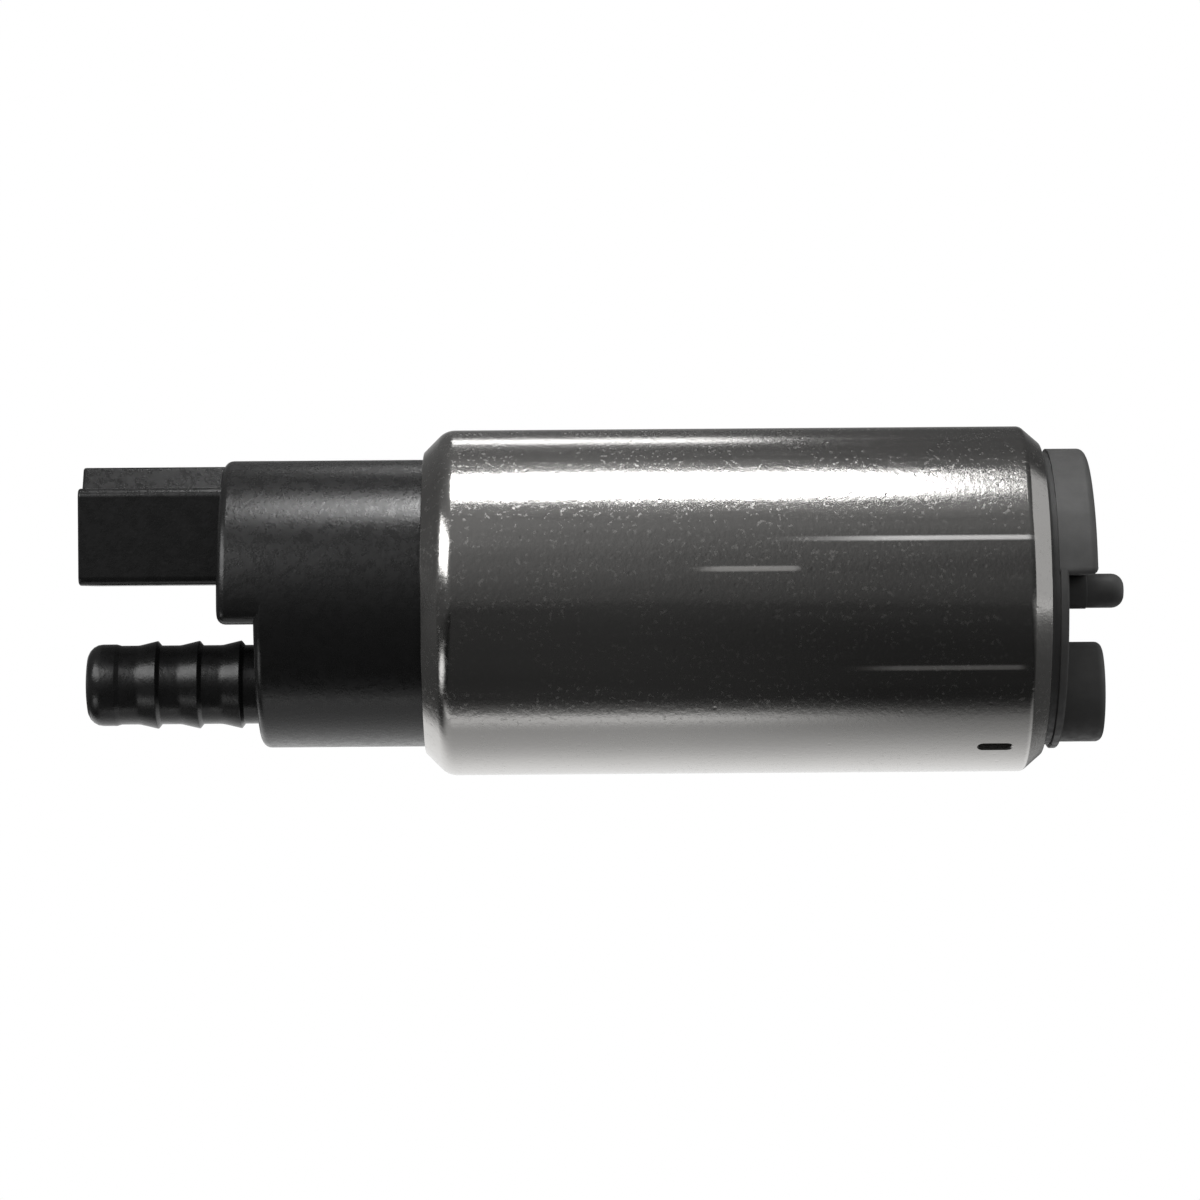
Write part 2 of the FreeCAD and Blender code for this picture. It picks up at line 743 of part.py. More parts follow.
def inlet_cover():
    """The grey end cover: crimped shoulder, half-moon boss, inlet tube and locating peg."""
    inset = can_wall + seat_gap
    corner = inset * math.tan(math.radians(front_crimp_angle) / 2)
    body = turned([
        (inlet_joint_x, 0),
        (inlet_joint_x, flange_radius),
        (front_corner_x - corner, flange_radius),
        (front_corner_x + crimp_reach(nose_radius, front_crimp_angle, inset), nose_radius),
        (plate_x, nose_radius),
        (plate_x, 0),
    ])
    root = plate_x - half_moon_height
    tube = blunted(inlet_tube_radius, inlet_tube_chamfer, root, tube_end_x, 0, inlet_tube_z)
    peg = blunted(peg_radius, peg_end_chamfer, root, plate_x + peg_length, peg_y, peg_z)
    collar = rod(peg_collar_radius, root, plate_x + half_moon_height, peg_y, peg_z)
    body = body.fuse([half_moon_boss(), tube, peg, collar]).removeSplitter()
    bore_floor = inlet_joint_x + inlet_floor
    return body.cut([
        rod(inlet_tube_radius - inlet_tube_wall, bore_floor, tube_end_x, 0, inlet_tube_z),
        rod(port_radius, inlet_joint_x, bore_floor, 0, -channel_inner_radius),
        rod(pad_radius + seat_gap, inlet_joint_x, pad_front_x),
        flow_channel(inlet_joint_x, inlet_joint_x + channel_depth),
    ])


def half_moon_boss():
    """The raised half-moon on the inlet cover's face."""
    end = plate_x + half_moon_height
    start = plate_x - half_moon_height
    disc = blunted(nose_radius, half_moon_edge_chamfer, start, end)
    return disc.common(block((start, -can_radius, half_moon_chord_z), (end, can_radius, can_radius)))


def thrust_pad():
    """The hard pad in the inlet cover that the shaft's end runs against."""
    return rod(pad_radius, pad_front_x - pad_thickness, pad_front_x)


parts = {
    "pump_shell": pump_shell(),
    "outlet_cover": outlet_cover(),
    "outlet_seal": outlet_seal(),
    "brush_holder": brush_holder(),
    "rear_bush": bush(rear_bush_back_x, rear_bush_length),
    "check_valve_seat": check_valve_seat(),
    "check_valve_guide": check_valve_guide(),
    "check_valve_poppet": check_valve_poppet(),
    "check_valve_spring": check_valve_spring(),
    "flux_ring": flux_ring(),
    "magnet_upper": magnet(90),
    "magnet_lower": magnet(270),
    "magnet_clip_far": magnet_clip(0),
    "magnet_clip_near": magnet_clip(180),
    "shaft": shaft(),
    "lamination_stack": lamination_stack(),
    "armature_winding": armature_winding(),
    "commutator_base": commutator_base(),
    "commutator_segments": commutator_segments(),
    "pump_housing": pump_housing(),
    "front_bush": bush(front_bush_start_x, front_bush_length),
    "impeller": impeller(),
    "inlet_cover": inlet_cover(),
    "thrust_pad": thrust_pad(),
}
for pole, side in (("positive", -1), ("negative", 1)):
    parts["terminal_blade_" + pole] = terminal_blade(side)
    parts["choke_core_" + pole] = choke_core(side)
    parts["choke_winding_" + pole] = choke_winding(side)
    parts["brush_" + pole] = brush(side)
    parts["brush_spring_" + pole] = brush_spring(side)
    parts["brush_lead_" + pole] = brush_lead(side)

os.makedirs("parts", exist_ok=True)
for node, shape in parts.items():
    shape.exportStep(os.path.join("parts", node + ".step"))
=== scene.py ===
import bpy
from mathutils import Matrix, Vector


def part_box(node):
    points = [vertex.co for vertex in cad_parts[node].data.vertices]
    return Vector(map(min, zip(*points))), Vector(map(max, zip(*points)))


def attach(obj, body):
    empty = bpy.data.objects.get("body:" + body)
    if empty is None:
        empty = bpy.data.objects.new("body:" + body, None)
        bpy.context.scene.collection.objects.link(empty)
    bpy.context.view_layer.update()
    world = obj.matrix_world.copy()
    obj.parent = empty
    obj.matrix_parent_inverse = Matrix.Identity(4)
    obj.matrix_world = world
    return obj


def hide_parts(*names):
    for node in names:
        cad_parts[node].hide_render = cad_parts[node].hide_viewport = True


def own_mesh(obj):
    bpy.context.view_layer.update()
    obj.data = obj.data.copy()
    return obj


bl_info = {
    "name": "In-tank fuel pump",
    "version": (1, 0, 0),
    "blender": (4, 5, 0),
    "location": "View3D > Sidebar > Fuel pump",
    "description": "Dresses the packed fuel pump: steel can, outlet cap, inlet cover, inner finishes and a studio",
    "category": "Object",
}

from math import asin, cos, pi, radians, sin, tan
from types import SimpleNamespace

import bmesh
import bpy
from bpy.props import FloatProperty, FloatVectorProperty, IntProperty, PointerProperty
from mathutils import Matrix, Vector

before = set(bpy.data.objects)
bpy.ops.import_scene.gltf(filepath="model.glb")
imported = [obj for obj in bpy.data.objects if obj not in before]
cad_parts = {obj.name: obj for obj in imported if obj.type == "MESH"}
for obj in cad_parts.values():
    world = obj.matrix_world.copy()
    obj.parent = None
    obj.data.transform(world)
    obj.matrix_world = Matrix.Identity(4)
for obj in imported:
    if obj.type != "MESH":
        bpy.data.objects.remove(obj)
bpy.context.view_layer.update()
SHELL_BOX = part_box("pump_shell")
OUTLET_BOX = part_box("outlet_cover")
INLET_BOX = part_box("inlet_cover")

# cuts, edges and small forms that no setting holds, in millimetres unless said
MERGE = 1e-4
HUB = 0.5  # radius of the flat in the middle of a turned end
PEG_HUB = 0.1
PAST = 1.0  # how far a join or a cut runs past a face
OVERLAP = 0.5  # how far a passage runs past its wall
OPEN = 0.02  # how far a flared cut starts off its face
FLARE = 0.3  # widening of a bore's mouth
SKIN = 0.004  # step between a half-moon and its round
FIT_GAP = 0.05  # gap between the can's crimp and a cover
EDGE = 0.2  # roundings
SOFT_EDGE = 0.3
MOUTH_EDGE = 0.28
ALMOST = 0.999  # keeps the slot's end arcs apart
SLOT_MARGIN = 0.4  # plain wall left round the slot
SLOT_PROUD = 0.03
SLOT_FLARE = 0.2
TUBE_ROOT = 0.4
ROOT_COLLAR = 0.5  # step at the hose outlet's root
BOSS_PROUD = 0.3
GROOVE_DEEP = 0.4
GROOVE_LONG = 0.55
BLADE_ACROSS = 4.0
SLIT_WIDE = 0.9
SLIT_HIGH = 4.1
CHANNEL_START = 262  # degrees from +Y towards +Z
CHANNEL_SWEEP = 312
CORNER_CLEAR = 1.4  # free arc at a half-moon's corner, in roundings
CLOSED_PITCH = 1.05  # of a spring's closed turns, in wires
CAN_SIDES = 256
SHARP_ANGLE = radians(35)
SENSOR_WIDTH = 36

# lines along the can, rougher and raised, some with a painted highlight: degrees up from the near side,
# whether the line gets the painted highlight as a lighter steel colour, and the stations in metres where a line
# starts, is full and ends
DRAW_LINES = (
    (20.2, True, 0.001, 0.02, 0.0305),
    (10.3, False, -0.006, -0.001, 0.0055),
    (-22.6, False, 0.01, 0.018, 0.0295),
)
LINE_HALF = 0.12  # half width and soft edge, in millimetres round the can
LINE_SOFT = 0.3
LINE_FADE = 0.0015  # in metres, as the depth
LINE_DEPTH = 8e-6
LINE_DULL = 0.42  # added roughness

NOISE_SPAN = (0.3, 0.7)  # of nearly all of a noise's heights
# lighter steel colour: a painted highlight along a draw line
HIGHLIGHT_STEEL = (0.97, 0.96, 0.95, 1)
WIRE_STEEL = (0.6, 0.59, 0.57)
COPPER = (0.6, 0.28, 0.12)
WHITE = (1, 1, 1, 1)

# lights: the setting that holds the brightness, then name, place, size and target
LIGHTS = (
    ("softbox", "Overhead_softbox", (-0.011, -0.056, 0.35), (0.09, 0.11), (-0.011, -0.056, 0)),
    ("strip", "Rear_strip", (-0.0225, 0.285, 0.305), (0.075, 0.055), (-0.0225, 0, 0.01)),
    ("side", "Side_light", (-0.3, -0.265, 0.235), (0.38, 0.22), (-0.03, 0, 0)),
    ("wall", "Inlet_wall", (0.5, 0.13, 0.19), (0.5, 0.46), (0.03, 0.13, 0.19)),
)

# brightness of the mirrored floor, by Y under the pump's two ends and by X beside it
FLOOR_HALF = 4.0  # half of its side, in metres
FLOOR_SOFT = 0.15  # brightness for soft light
FLOOR_BEHIND = [(0.02, 0.5), (0.041, 0.66), (0.061, 0.8), (0.095, 0.95), (0.17, 1.0)]
FLOOR_OUTLET = [(-0.6, 0.044), (-0.25, 0.033), (-0.05, 0.027), (-0.039, 0.06), (-0.033, 0.12), (-0.029, 0.4),
                (-0.0255, 0.85), (-0.02, 0.85), (-0.016, 0.47), (-0.012, 0.38), (-0.002, 0.42)] + FLOOR_BEHIND
FLOOR_INLET = [(-0.6, 0.033), (-0.25, 0.022), (-0.05, 0.014), (-0.039, 0.035), (-0.028, 0.12), (-0.02, 0.22),
               (-0.012, 0.27), (-0.002, 0.32)] + FLOOR_BEHIND
FLOOR_ASIDE = [(-0.6, 0.055), (-0.3, 0.032), (-0.15, 0.012), (-0.1, 0), (0.1, 0), (0.2, 0.03), (0.4, 0.07),
               (0.9, 0.17), (2.0, 0.36)]
FLOOR_PATCH = (-0.172, -0.075)  # a bright place that the can's rear bend mirrors

# brightness of the mirrored room for the two ends, by degrees up from the camera's side
ROOM_BEHIND = [(172, 0.3), (180, 0.6)]
ROOM_OUTLET = [(-50, 0.035), (-10, 0.05), (0, 0.06), (16, 0.095), (27, 0.11), (38, 0.14), (50, 0.165),
               (62, 0.15), (105, 0.1), (160, 0.1)] + ROOM_BEHIND
ROOM_INLET = [(-50, 0.03), (-10, 0.045), (0, 0.055), (27, 0.062), (38, 0.085), (50, 0.15), (62, 0.13),
              (105, 0.085), (160, 0.085)] + ROOM_BEHIND


def length(name, description, default):
    """A length setting, in metres."""
    return FloatProperty(name=name, description=description, default=default, unit="LENGTH", precision=5)


def angle(name, description, degrees):
    """An angle setting, given here in degrees."""
    return FloatProperty(name=name, description=description, default=radians(degrees), unit="ROTATION",
                         subtype="ANGLE")


def factor(name, description, default):
    """A setting from 0 to 1."""
    return FloatProperty(name=name, description=description, default=default, min=0, max=1, subtype="FACTOR")


def colour(name, description, default):
    """A colour setting."""
    return FloatVectorProperty(name=name, description=description, default=default, size=3, min=0, max=1,
                               subtype="COLOR")


class CanSettings(bpy.types.PropertyGroup):
    """Sizes and finish of the drawn steel can"""
    radius: length("Radius", "Outside radius of the can", SHELL_BOX[1][2])
    wall: length("Wall", "Thickness of the steel", 0.0007)
    rear_corner: length("Rear corner", "Station of the corner at the outlet end", -0.03165)
    front_corner: length("Front corner", "Station of the corner at the inlet end", 0.03135)
    rear_angle: angle("Rear crimp", "Slope of the crimp at the outlet end", 45)
    front_angle: angle("Front crimp", "Slope of the crimp at the inlet end", 41)
    rear_lip: length("Rear lip", "Radius of the lip at the outlet end", 0.016)
    front_lip: length("Front lip", "Radius of the lip at the inlet end", 0.01675)
    rear_bend: length("Rear bend", "Radius of the bend at the outlet end", 0.0024)
    front_bend: length("Front bend", "Radius of the bend at the inlet end", 0.0009)
    slot_length: length("Slot length", "Length of the punched slot", 0.0036)
    slot_width: length("Slot width", "Width of the punched slot", 0.0011)
    slot_setback: length("Slot setback", "Front corner to the slot's middle", 0.0036)
    slot_angle: angle("Slot angle", "Place of the slot, from straight up", 147.3)
    tint: colour("Steel", "Colour of the steel", (0.57, 0.56, 0.545))
    roughness: factor("Roughness", "Roughness of the satin steel", 0.17)


class CapSettings(bpy.types.PropertyGroup):
    """Sizes and finish of the outlet cap"""
    radius: length("Radius", "Radius of the round cap", 0.0158)
    flange: length("Flange", "Radius of the flange inside the can", 0.01825)
    front: length("Front", "Station of the cap's open end", OUTLET_BOX[1][0])
    end: length("End", "Station of the cap's end wall", -0.05205)
    step: length("Step end", "Station of the step's face", -0.056)
    chord: length("Step chord", "Height of the step's straight edge", -0.00215)
    edge_round: length("Edge", "Rounding of the cap's and step's edges", 0.00095)
    cavity: length("Cavity", "Radius of the cap's cavity", 0.0136)
    cavity_end: length("Cavity end", "Station of the cavity's end wall", -0.0495)
    socket_half: length("Socket half width", "Half the width of the socket", 0.0095)
    socket_low: length("Socket floor", "Height of the socket's underside", 0.00215)
    socket_high: length("Socket top", "Height of the socket's flat top", 0.0127)
    socket_wall: length("Socket wall", "Thickness of the socket's walls", 0.0013)
    socket_round: length("Socket corners", "Rounding of the socket's long corners", 0.001)
    socket_floor: length("Socket depth stop", "Station of the floor inside the socket", -0.0575)
    rib_base: length("Rib base", "Half width of the rib's foot", 0.00485)
    rib_crown: length("Rib crown", "Half width of the rib's flat top", 0.0033)
    rib_high: length("Rib top", "Height of the rib's top", 0.0151)
    tint: colour("Plastic", "Colour of the black plastic", (0.0105, 0.0105, 0.0106))
    roughness: factor("Roughness", "Roughness of the black plastic", 0.27)


class BarbSettings(bpy.types.PropertyGroup):
    """Sizes of the barbed hose outlet and the valve chamber behind it"""
    height: length("Height", "Height of the outlet's axis", -0.0088)
    tip: length("Tip", "Station of the outlet's tip", OUTLET_BOX[0][0])
    stem: length("Stem", "Radius between the barbs", 0.00435)
    crest: length("Crest", "Radius of the barbs", 0.00485)
    nose: length("Nose", "Radius of the nose", 0.0045)
    nose_length: length("Nose length", "Length of the nose", 0.0032)
    nose_round: length("Nose round", "Rounding of the nose", 0.0017)
    first: length("First barb", "From the tip to the first barb", 0.00775)
    pitch: length("Pitch", "Distance between barbs", 0.0046)
    rise: length("Rise", "Length of a barb's slope", 0.0021)
    fall: length("Fall", "Length of a barb's back", 0.0004)
    barbs: IntProperty(name="Barbs", description="Number of barbs", default=3, min=1)
    bore: length("Bore", "Radius of the outlet's bore", 0.0026)
    chamber: length("Chamber", "Radius of the valve chamber", 0.0042)
    chamber_wall: length("Chamber wall", "Thickness of the chamber's tube", 0.001)
    chamber_floor: length("Chamber floor", "Station of the chamber's floor", -0.049)
    chamber_mouth: length("Chamber mouth", "Station of the chamber's mouth", -0.036)


class SpringSettings(bpy.types.PropertyGroup):
    """Wire and pitch of the coil springs"""
    valve_wire: length("Valve wire", "Wire of the check valve's spring", 0.0005)
    valve_pitch: length("Valve pitch", "Pitch of the check valve's spring", 0.0012)
    brush_wire: length("Brush wire", "Wire of the brush springs", 0.0004)
    brush_pitch: length("Brush pitch", "Pitch of the brush springs", 0.001)


class CoverSettings(bpy.types.PropertyGroup):
    """Sizes and finish of the inlet cover"""
    joint: length("Joint", "Station of the face at the housing", INLET_BOX[0][0])
    flange: length("Flange", "Radius of the shoulder inside the can", 0.01825)
    nose: length("Nose", "Radius of the round end", 0.0165)
    plate: length("Plate", "Station of the flat face", 0.0353)
    groove: length("Groove", "Station of the groove by the can's lip", 0.0338)
    boss: length("Boss", "Station of the boss's face", 0.0382)
    chord: length("Boss chord", "Height of the boss's straight edge", 0.0025)
    boss_round: length("Boss edge", "Rounding of the boss's edge", 0.0004)
    tube: length("Tube", "Radius of the inlet tube", 0.0055)
    tube_bore: length("Tube bore", "Radius of the tube's bore", 0.004)
    tube_height: length("Tube height", "Height of the tube's axis", -0.0103)
    tube_end: length("Tube end", "Station of the tube's end", 0.04035)
    tube_round: length("Tube edge", "Rounding of the tube's end", 0.0008)
    tube_floor: length("Tube floor", "Station of the floor in the tube", 0.03099)
    peg: length("Peg", "Radius of the locating peg", 0.001875)
    peg_collar: length("Peg collar", "Radius of the peg's collar", 0.00196)
    peg_y: length("Peg across", "Place of the peg across the cover", -0.005)
    peg_z: length("Peg height", "Height of the peg", 0.0008)
    peg_end: length("Peg end", "Station of the peg's tip", INLET_BOX[1][0])
    peg_round: length("Peg round", "Rounding of the peg's tip", 0.00135)
    channel_inner: length("Channel inside", "Inner radius of the channel", 0.0126)
    channel_outer: length("Channel outside", "Outer radius of the channel", 0.0156)
    channel_depth: length("Channel depth", "Depth of the channel", 0.0016)
    pad: length("Pad pocket", "Radius of the pad's pocket", 0.00255)
    pad_depth: length("Pad depth", "Depth of the pad's pocket", 0.0033)
    port: length("Port", "Radius of the port to the channel", 0.0015)
    tint: colour("Plastic", "Colour of the grey plastic", (0.08, 0.08, 0.079))
    roughness: factor("Roughness", "Roughness of the grey plastic", 0.52)


class StudioSettings(bpy.types.PropertyGroup):
    """Camera, lights and floor"""
    distance: length("Distance", "From the pump's axis to the camera", 0.51)
    across: length("Across", "Place of the camera along the pump", -0.01485)
    height: length("Height", "Height of the camera", 0.0002)
    lens: FloatProperty(name="Lens", description="Focal length in millimetres", default=138.7)
    roll: angle("Roll", "Roll of the camera", 0.43)
    floor: length("Floor", "Height of the floor", -0.1)
    softbox: FloatProperty(name="Softbox", description="Brightness of the overhead softbox", default=14.0)
    strip: FloatProperty(name="Strip", description="Brightness of the strip light behind", default=2.6)
    side: FloatProperty(name="Side light", description="Brightness of the front left light", default=3.0)
    wall: FloatProperty(name="Wall", description="Brightness of the wall past the inlet end", default=0.5)
    ambient: factor("Ambient", "Brightness of the room's soft light", 0.75)
    floor_tint: colour("Floor colour", "Colour of the floor", (0.86, 0.86, 0.86))


def in_mm(settings):
    """A settings group's values, with its lengths in millimetres."""
    values = {}
    for prop in settings.bl_rna.properties:
        if prop.identifier not in ("rna_type", "name"):
            value = getattr(settings, prop.identifier)
            if getattr(prop, "is_array", False):
                value = tuple(value)
            values[prop.identifier] = value * 1000 if getattr(prop, "unit", "NONE") == "LENGTH" else value
    return SimpleNamespace(**values)


# shapes, built in millimetres

def eased(corners, steps=6):
    """The points of a closed line with rounded (a, b, radius) corners."""
    points = []
    for index, (a, b, radius) in enumerate(corners):
        here = Vector((a, b))
        back = Vector(corners[index - 1][:2]) - here
        ahead = Vector(corners[(index + 1) % len(corners)][:2]) - here
        if radius <= 0:
            points.append(here)
            continue
        half = back.angle(ahead) / 2
        reach = radius / tan(half)
        first = here + back.normalized() * reach
        last = here + ahead.normalized() * reach
        centre = here + (back.normalized() + ahead.normalized()).normalized() * radius / sin(half)
        spoke = first - centre
        sweep = spoke.angle_signed(last - centre)
        for step in range(steps + 1):
            turn = Matrix.Rotation(-sweep * step / steps, 2)
            points.append(centre + turn @ spoke)
    return [tuple(point) for point in points]


def inset(outline, distance):
    """The outline drawn in by a distance; it runs anticlockwise."""
    moved = []
    for index, point in enumerate(outline):
        here = Vector(point)
        before = (here - Vector(outline[index - 1])).normalized()
        after = (Vector(outline[(index + 1) % len(outline)]) - here).normalized()
        inward = Vector((-before.y - after.y, before.x + after.x)) / (1 + before.dot(after))
        moved.append(tuple(here + inward * distance))
    return moved


def lofted(rings, looped=False):
    """A closed bmesh through rings of points, capped at both ends or looped round."""
    bm = bmesh.new()
    loops = [[bm.verts.new(point) for point in ring] for ring in rings]
    pairs = list(zip(loops, loops[1:]))
    if looped:
        pairs.append((loops[-1], loops[0]))
    else:
        bm.faces.new(loops[0])
        bm.faces.new(loops[-1])
    for first, second in pairs:
        for index in range(len(first)):
            bm.faces.new((first[index - 1], first[index], second[index], second[index - 1]))
    bmesh.ops.recalc_face_normals(bm, faces=bm.faces)
    return bm


def turned(outline, y=0.0, z=0.0, sides=192, looped=False):
    """A bmesh turned about a line along X from (station, radius) points."""
    angles = [2 * pi * (index + 0.5) / sides for index in range(sides)]
    rings = [[(x, y + radius * cos(turn), z + radius * sin(turn)) for turn in angles]
             for x, radius in outline]
    return lofted(rings, looped)


def rod(radius, start, end, y=0.0, z=0.0, sides=96):
    """A plain round bar along X, used to cut or fill."""
    return turned([(start, radius), (end, radius)], y, z, sides)


def coiled(node, wire, pitch, steps=30, sides=10):
    """A coil spring of round wire with closed ends, in a node's room along X."""
    low, high = [Vector(corner) * 1000 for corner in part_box(node)]
    middle = (low + high) / 2
    radius = (high.z - low.z - wire) / 2
    closed = wire * CLOSED_PITCH
    room = high.x - low.x - wire - 2 * closed
    open_turns = room / pitch
    count = round((open_turns + 2) * steps)
    rings = []
    for index in range(count + 1):
        turns = (open_turns + 2) * index / count
        opened = min(max(turns - 1, 0), open_turns)
        station = low.x + wire / 2 + opened * pitch + (turns - opened) * closed
        spoke = Vector((0, cos(2 * pi * turns), sin(2 * pi * turns)))
        centre = Vector((station, middle.y, middle.z)) + spoke * radius
        slope = (pitch if 0 < opened < open_turns else closed) / (2 * pi * radius)
        along = Vector((slope, -spoke.z, spoke.y)).normalized()
        across = along.cross(spoke)
        rings.append([centre + (spoke * cos(turn) + across * sin(turn)) * wire / 2
                      for turn in (2 * pi * side / sides for side in range(sides))])
    return lofted(rings)


def edge_steps(rounding, steps):
    """The (depth, inset) pairs of a rounded edge, or a flared one where negative."""
    if rounding > 0:
        turns = [pi / 2 * step / steps for step in range(steps + 1)]
        return [(rounding * (1 - sin(turn)), rounding * (1 - cos(turn))) for turn in turns]
    if rounding < 0:
        return [(-rounding * (1 - step / steps), rounding * step / steps) for step in range(steps + 1)]
    return [(0, 0)]


def prism(outline, start, end, start_round=0.0, end_round=0.0, steps=5):
    """A bar along X with an outline in (y, z) and rounded or flared end edges."""
    levels = [(start + depth, drawn) for depth, drawn in reversed(edge_steps(start_round, steps))]
    levels += [(end - depth, drawn) for depth, drawn in edge_steps(end_round, steps)]
    rings = [[(x, y, z) for y, z in (inset(outline, drawn) if drawn else outline)] for x, drawn in levels]
    return lofted(rings)


def round_outline(radius, z, sides=96):
    """A circle in (y, z), centred across."""
    turns = [2 * pi * side / sides for side in range(sides)]
    return [(radius * cos(turn), z + radius * sin(turn)) for turn in turns]


def box_outline(half, low, high, rounding):
    """A round-cornered rectangle in (y, z), centred across."""
    return eased([(half, low, rounding), (half, high, rounding), (-half, high, rounding), (-half, low, rounding)])


def half_moon(radius, chord, rounding, sides=192):
    """A disc above a chord in (y, z), its two corners rounded."""
    corner = asin(chord / radius)
    start = corner + CORNER_CLEAR * rounding / radius
    sweep = pi - 2 * start
    count = int(sides * sweep / (2 * pi))
    turns = [start + sweep * index / count for index in range(count + 1)]
    return eased([
        (radius * cos(corner), chord, rounding),
        *((radius * cos(turn), radius * sin(turn), 0) for turn in turns),
        (-radius * cos(corner), chord, rounding),
    ])


def ring_part(inner, outer, start, sweep, steps=96):
    """A part of a flat ring in (y, z)."""
    angles = [radians(start + sweep * step / steps) for step in range(steps + 1)]
    outside = [(outer * cos(turn), outer * sin(turn)) for turn in angles]
    inside = [(inner * cos(turn), inner * sin(turn)) for turn in reversed(angles)]
    return outside + inside


def placed(bm, name):
    """A scene object made from a bmesh."""
    mesh = bpy.data.meshes.new(name)
    bm.to_mesh(mesh)
    bm.free()
    piece = bpy.data.objects.new(name, mesh)
    bpy.context.scene.collection.objects.link(piece)
    return piece


def combined(piece, operation, *shapes):
    """Joins each bmesh to the piece, or cuts it from it."""
    for shape in shapes:
        tool = placed(shape, "tool")
        modifier = piece.modifiers.new("combine", "BOOLEAN")
        modifier.operation = operation
        modifier.solver = "EXACT"
        modifier.object = tool
        graph = bpy.context.evaluated_depsgraph_get()
        mesh = bpy.data.meshes.new_from_object(piece.evaluated_get(graph))
        piece.modifiers.clear()
        spent = (piece.data, tool.data)
        piece.data = mesh
        bpy.data.objects.remove(tool)
        for old in spent:
            bpy.data.meshes.remove(old)


def crimp_reach(can, radius, slope, skin=0.0):
    """How far past its corner a crimp's cone, or one a skin inside it, is down to a radius."""
    return (can.radius - radius - skin / cos(slope)) / tan(slope)


def finished(piece, name, material, node):
    """Cleans a piece, brings it to metres, shades it and fits it to the frame."""
    bm = bmesh.new()
    bm.from_mesh(piece.data)
    bmesh.ops.remove_doubles(bm, verts=bm.verts, dist=MERGE)
    bmesh.ops.dissolve_degenerate(bm, dist=MERGE, edges=bm.edges)
    for face in bm.faces:
        face.smooth = True
    for edge in bm.edges:
        edge.smooth = len(edge.link_faces) == 2 and edge.calc_face_angle(0) < SHARP_ANGLE
    bm.to_mesh(piece.data)
    bm.free()
    piece.data.transform(Matrix.Scale(0.001, 4))
    if not piece.data.polygons:
        raise RuntimeError(name + " came out empty")
    piece.name = name
    piece.data.name = name
    piece.data.materials.clear()
    piece.data.materials.append(material)
    normals = piece.modifiers.new("Weighted normals", "WEIGHTED_NORMAL")
    normals.keep_sharp = True
    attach(piece, "pump")
    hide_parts(node)
    return piece


def sprung(node, name, wire, pitch, material):
    """Makes a coil spring in place of a node."""
    piece = finished(placed(coiled(node, wire, pitch), name), name, material, node)
    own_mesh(piece)


# materials

class Graph:
    """A node tree that is filled by short calls."""

    def __init__(self, tree):
        self.tree = tree
        tree.nodes.clear()

    def node(self, kind, values=None, **settings):
        """Adds a node, sets its fields and its sockets."""
        node = self.tree.nodes.new("ShaderNode" + kind)
        for key, value in settings.items():
            setattr(node, key, value)
        self.set(node, values or {})
        return node

    def set(self, node, values):
        """Sets sockets to values, or links them to other sockets."""
        for key, value in values.items():
            if isinstance(value, bpy.types.NodeSocket):
                self.tree.links.new(value, node.inputs[key])
            else:
                node.inputs[key].default_value = value

    def ranged(self, value, low, high, to_low, to_high, smooth=True):
        """A value moved from one range to another, and held there."""
        node = self.node("MapRange", {"Value": value, "From Min": low, "From Max": high, "To Min": to_low,
                                      "To Max": to_high},
                         interpolation_type="SMOOTHSTEP" if smooth else "LINEAR")
        return node.outputs["Result"]

    def ramp(self, value, stops):
        """A value read off a line of (place, height) stops."""
        low, high = stops[0][0], stops[-1][0]
        node = self.node("ValToRGB", {"Fac": self.ranged(value, low, high, 0, 1, smooth=False)})
        elements = node.color_ramp.elements
        elements[0].color = (*[stops[0][1]] * 3, 1)
        elements[1].color = (*[stops[-1][1]] * 3, 1)
        for place, height in stops[1:-1]:
            elements.new((place - low) / (high - low)).color = (height, height, height, 1)
        return node.outputs["Color"]

    def maths(self, operation, first, second=0.0):
        """One sum."""
        return self.node("Math", {0: first, 1: second}, operation=operation).outputs["Value"]

    def mixed(self, by, first, second):
        """A value between two others."""
        return self.node("Mix", {0: by, 2: first, 3: second}).outputs[0]

    def blended(self, by, first, second):
        """A colour between two others."""
        return self.node("Mix", {0: by, 6: first, 7: second}, data_type="RGBA").outputs[2]

    def apart(self, vector):
        """A vector's three parts."""
        return self.node("SeparateXYZ", {"Vector": vector}).outputs

    def elevation(self, parts):
        """The angle of a place about X: 0 towards the camera's side, a quarter turn straight up."""
        return self.maths("ARCTAN2", parts["Z"], self.maths("MULTIPLY", parts["Y"], -1.0))

    def clear_rays(self):
        """1 for rays from the camera or through glass."""
        path = self.node("LightPath").outputs
        return self.maths("MAXIMUM", path["Is Camera Ray"], path["Is Transmission Ray"])


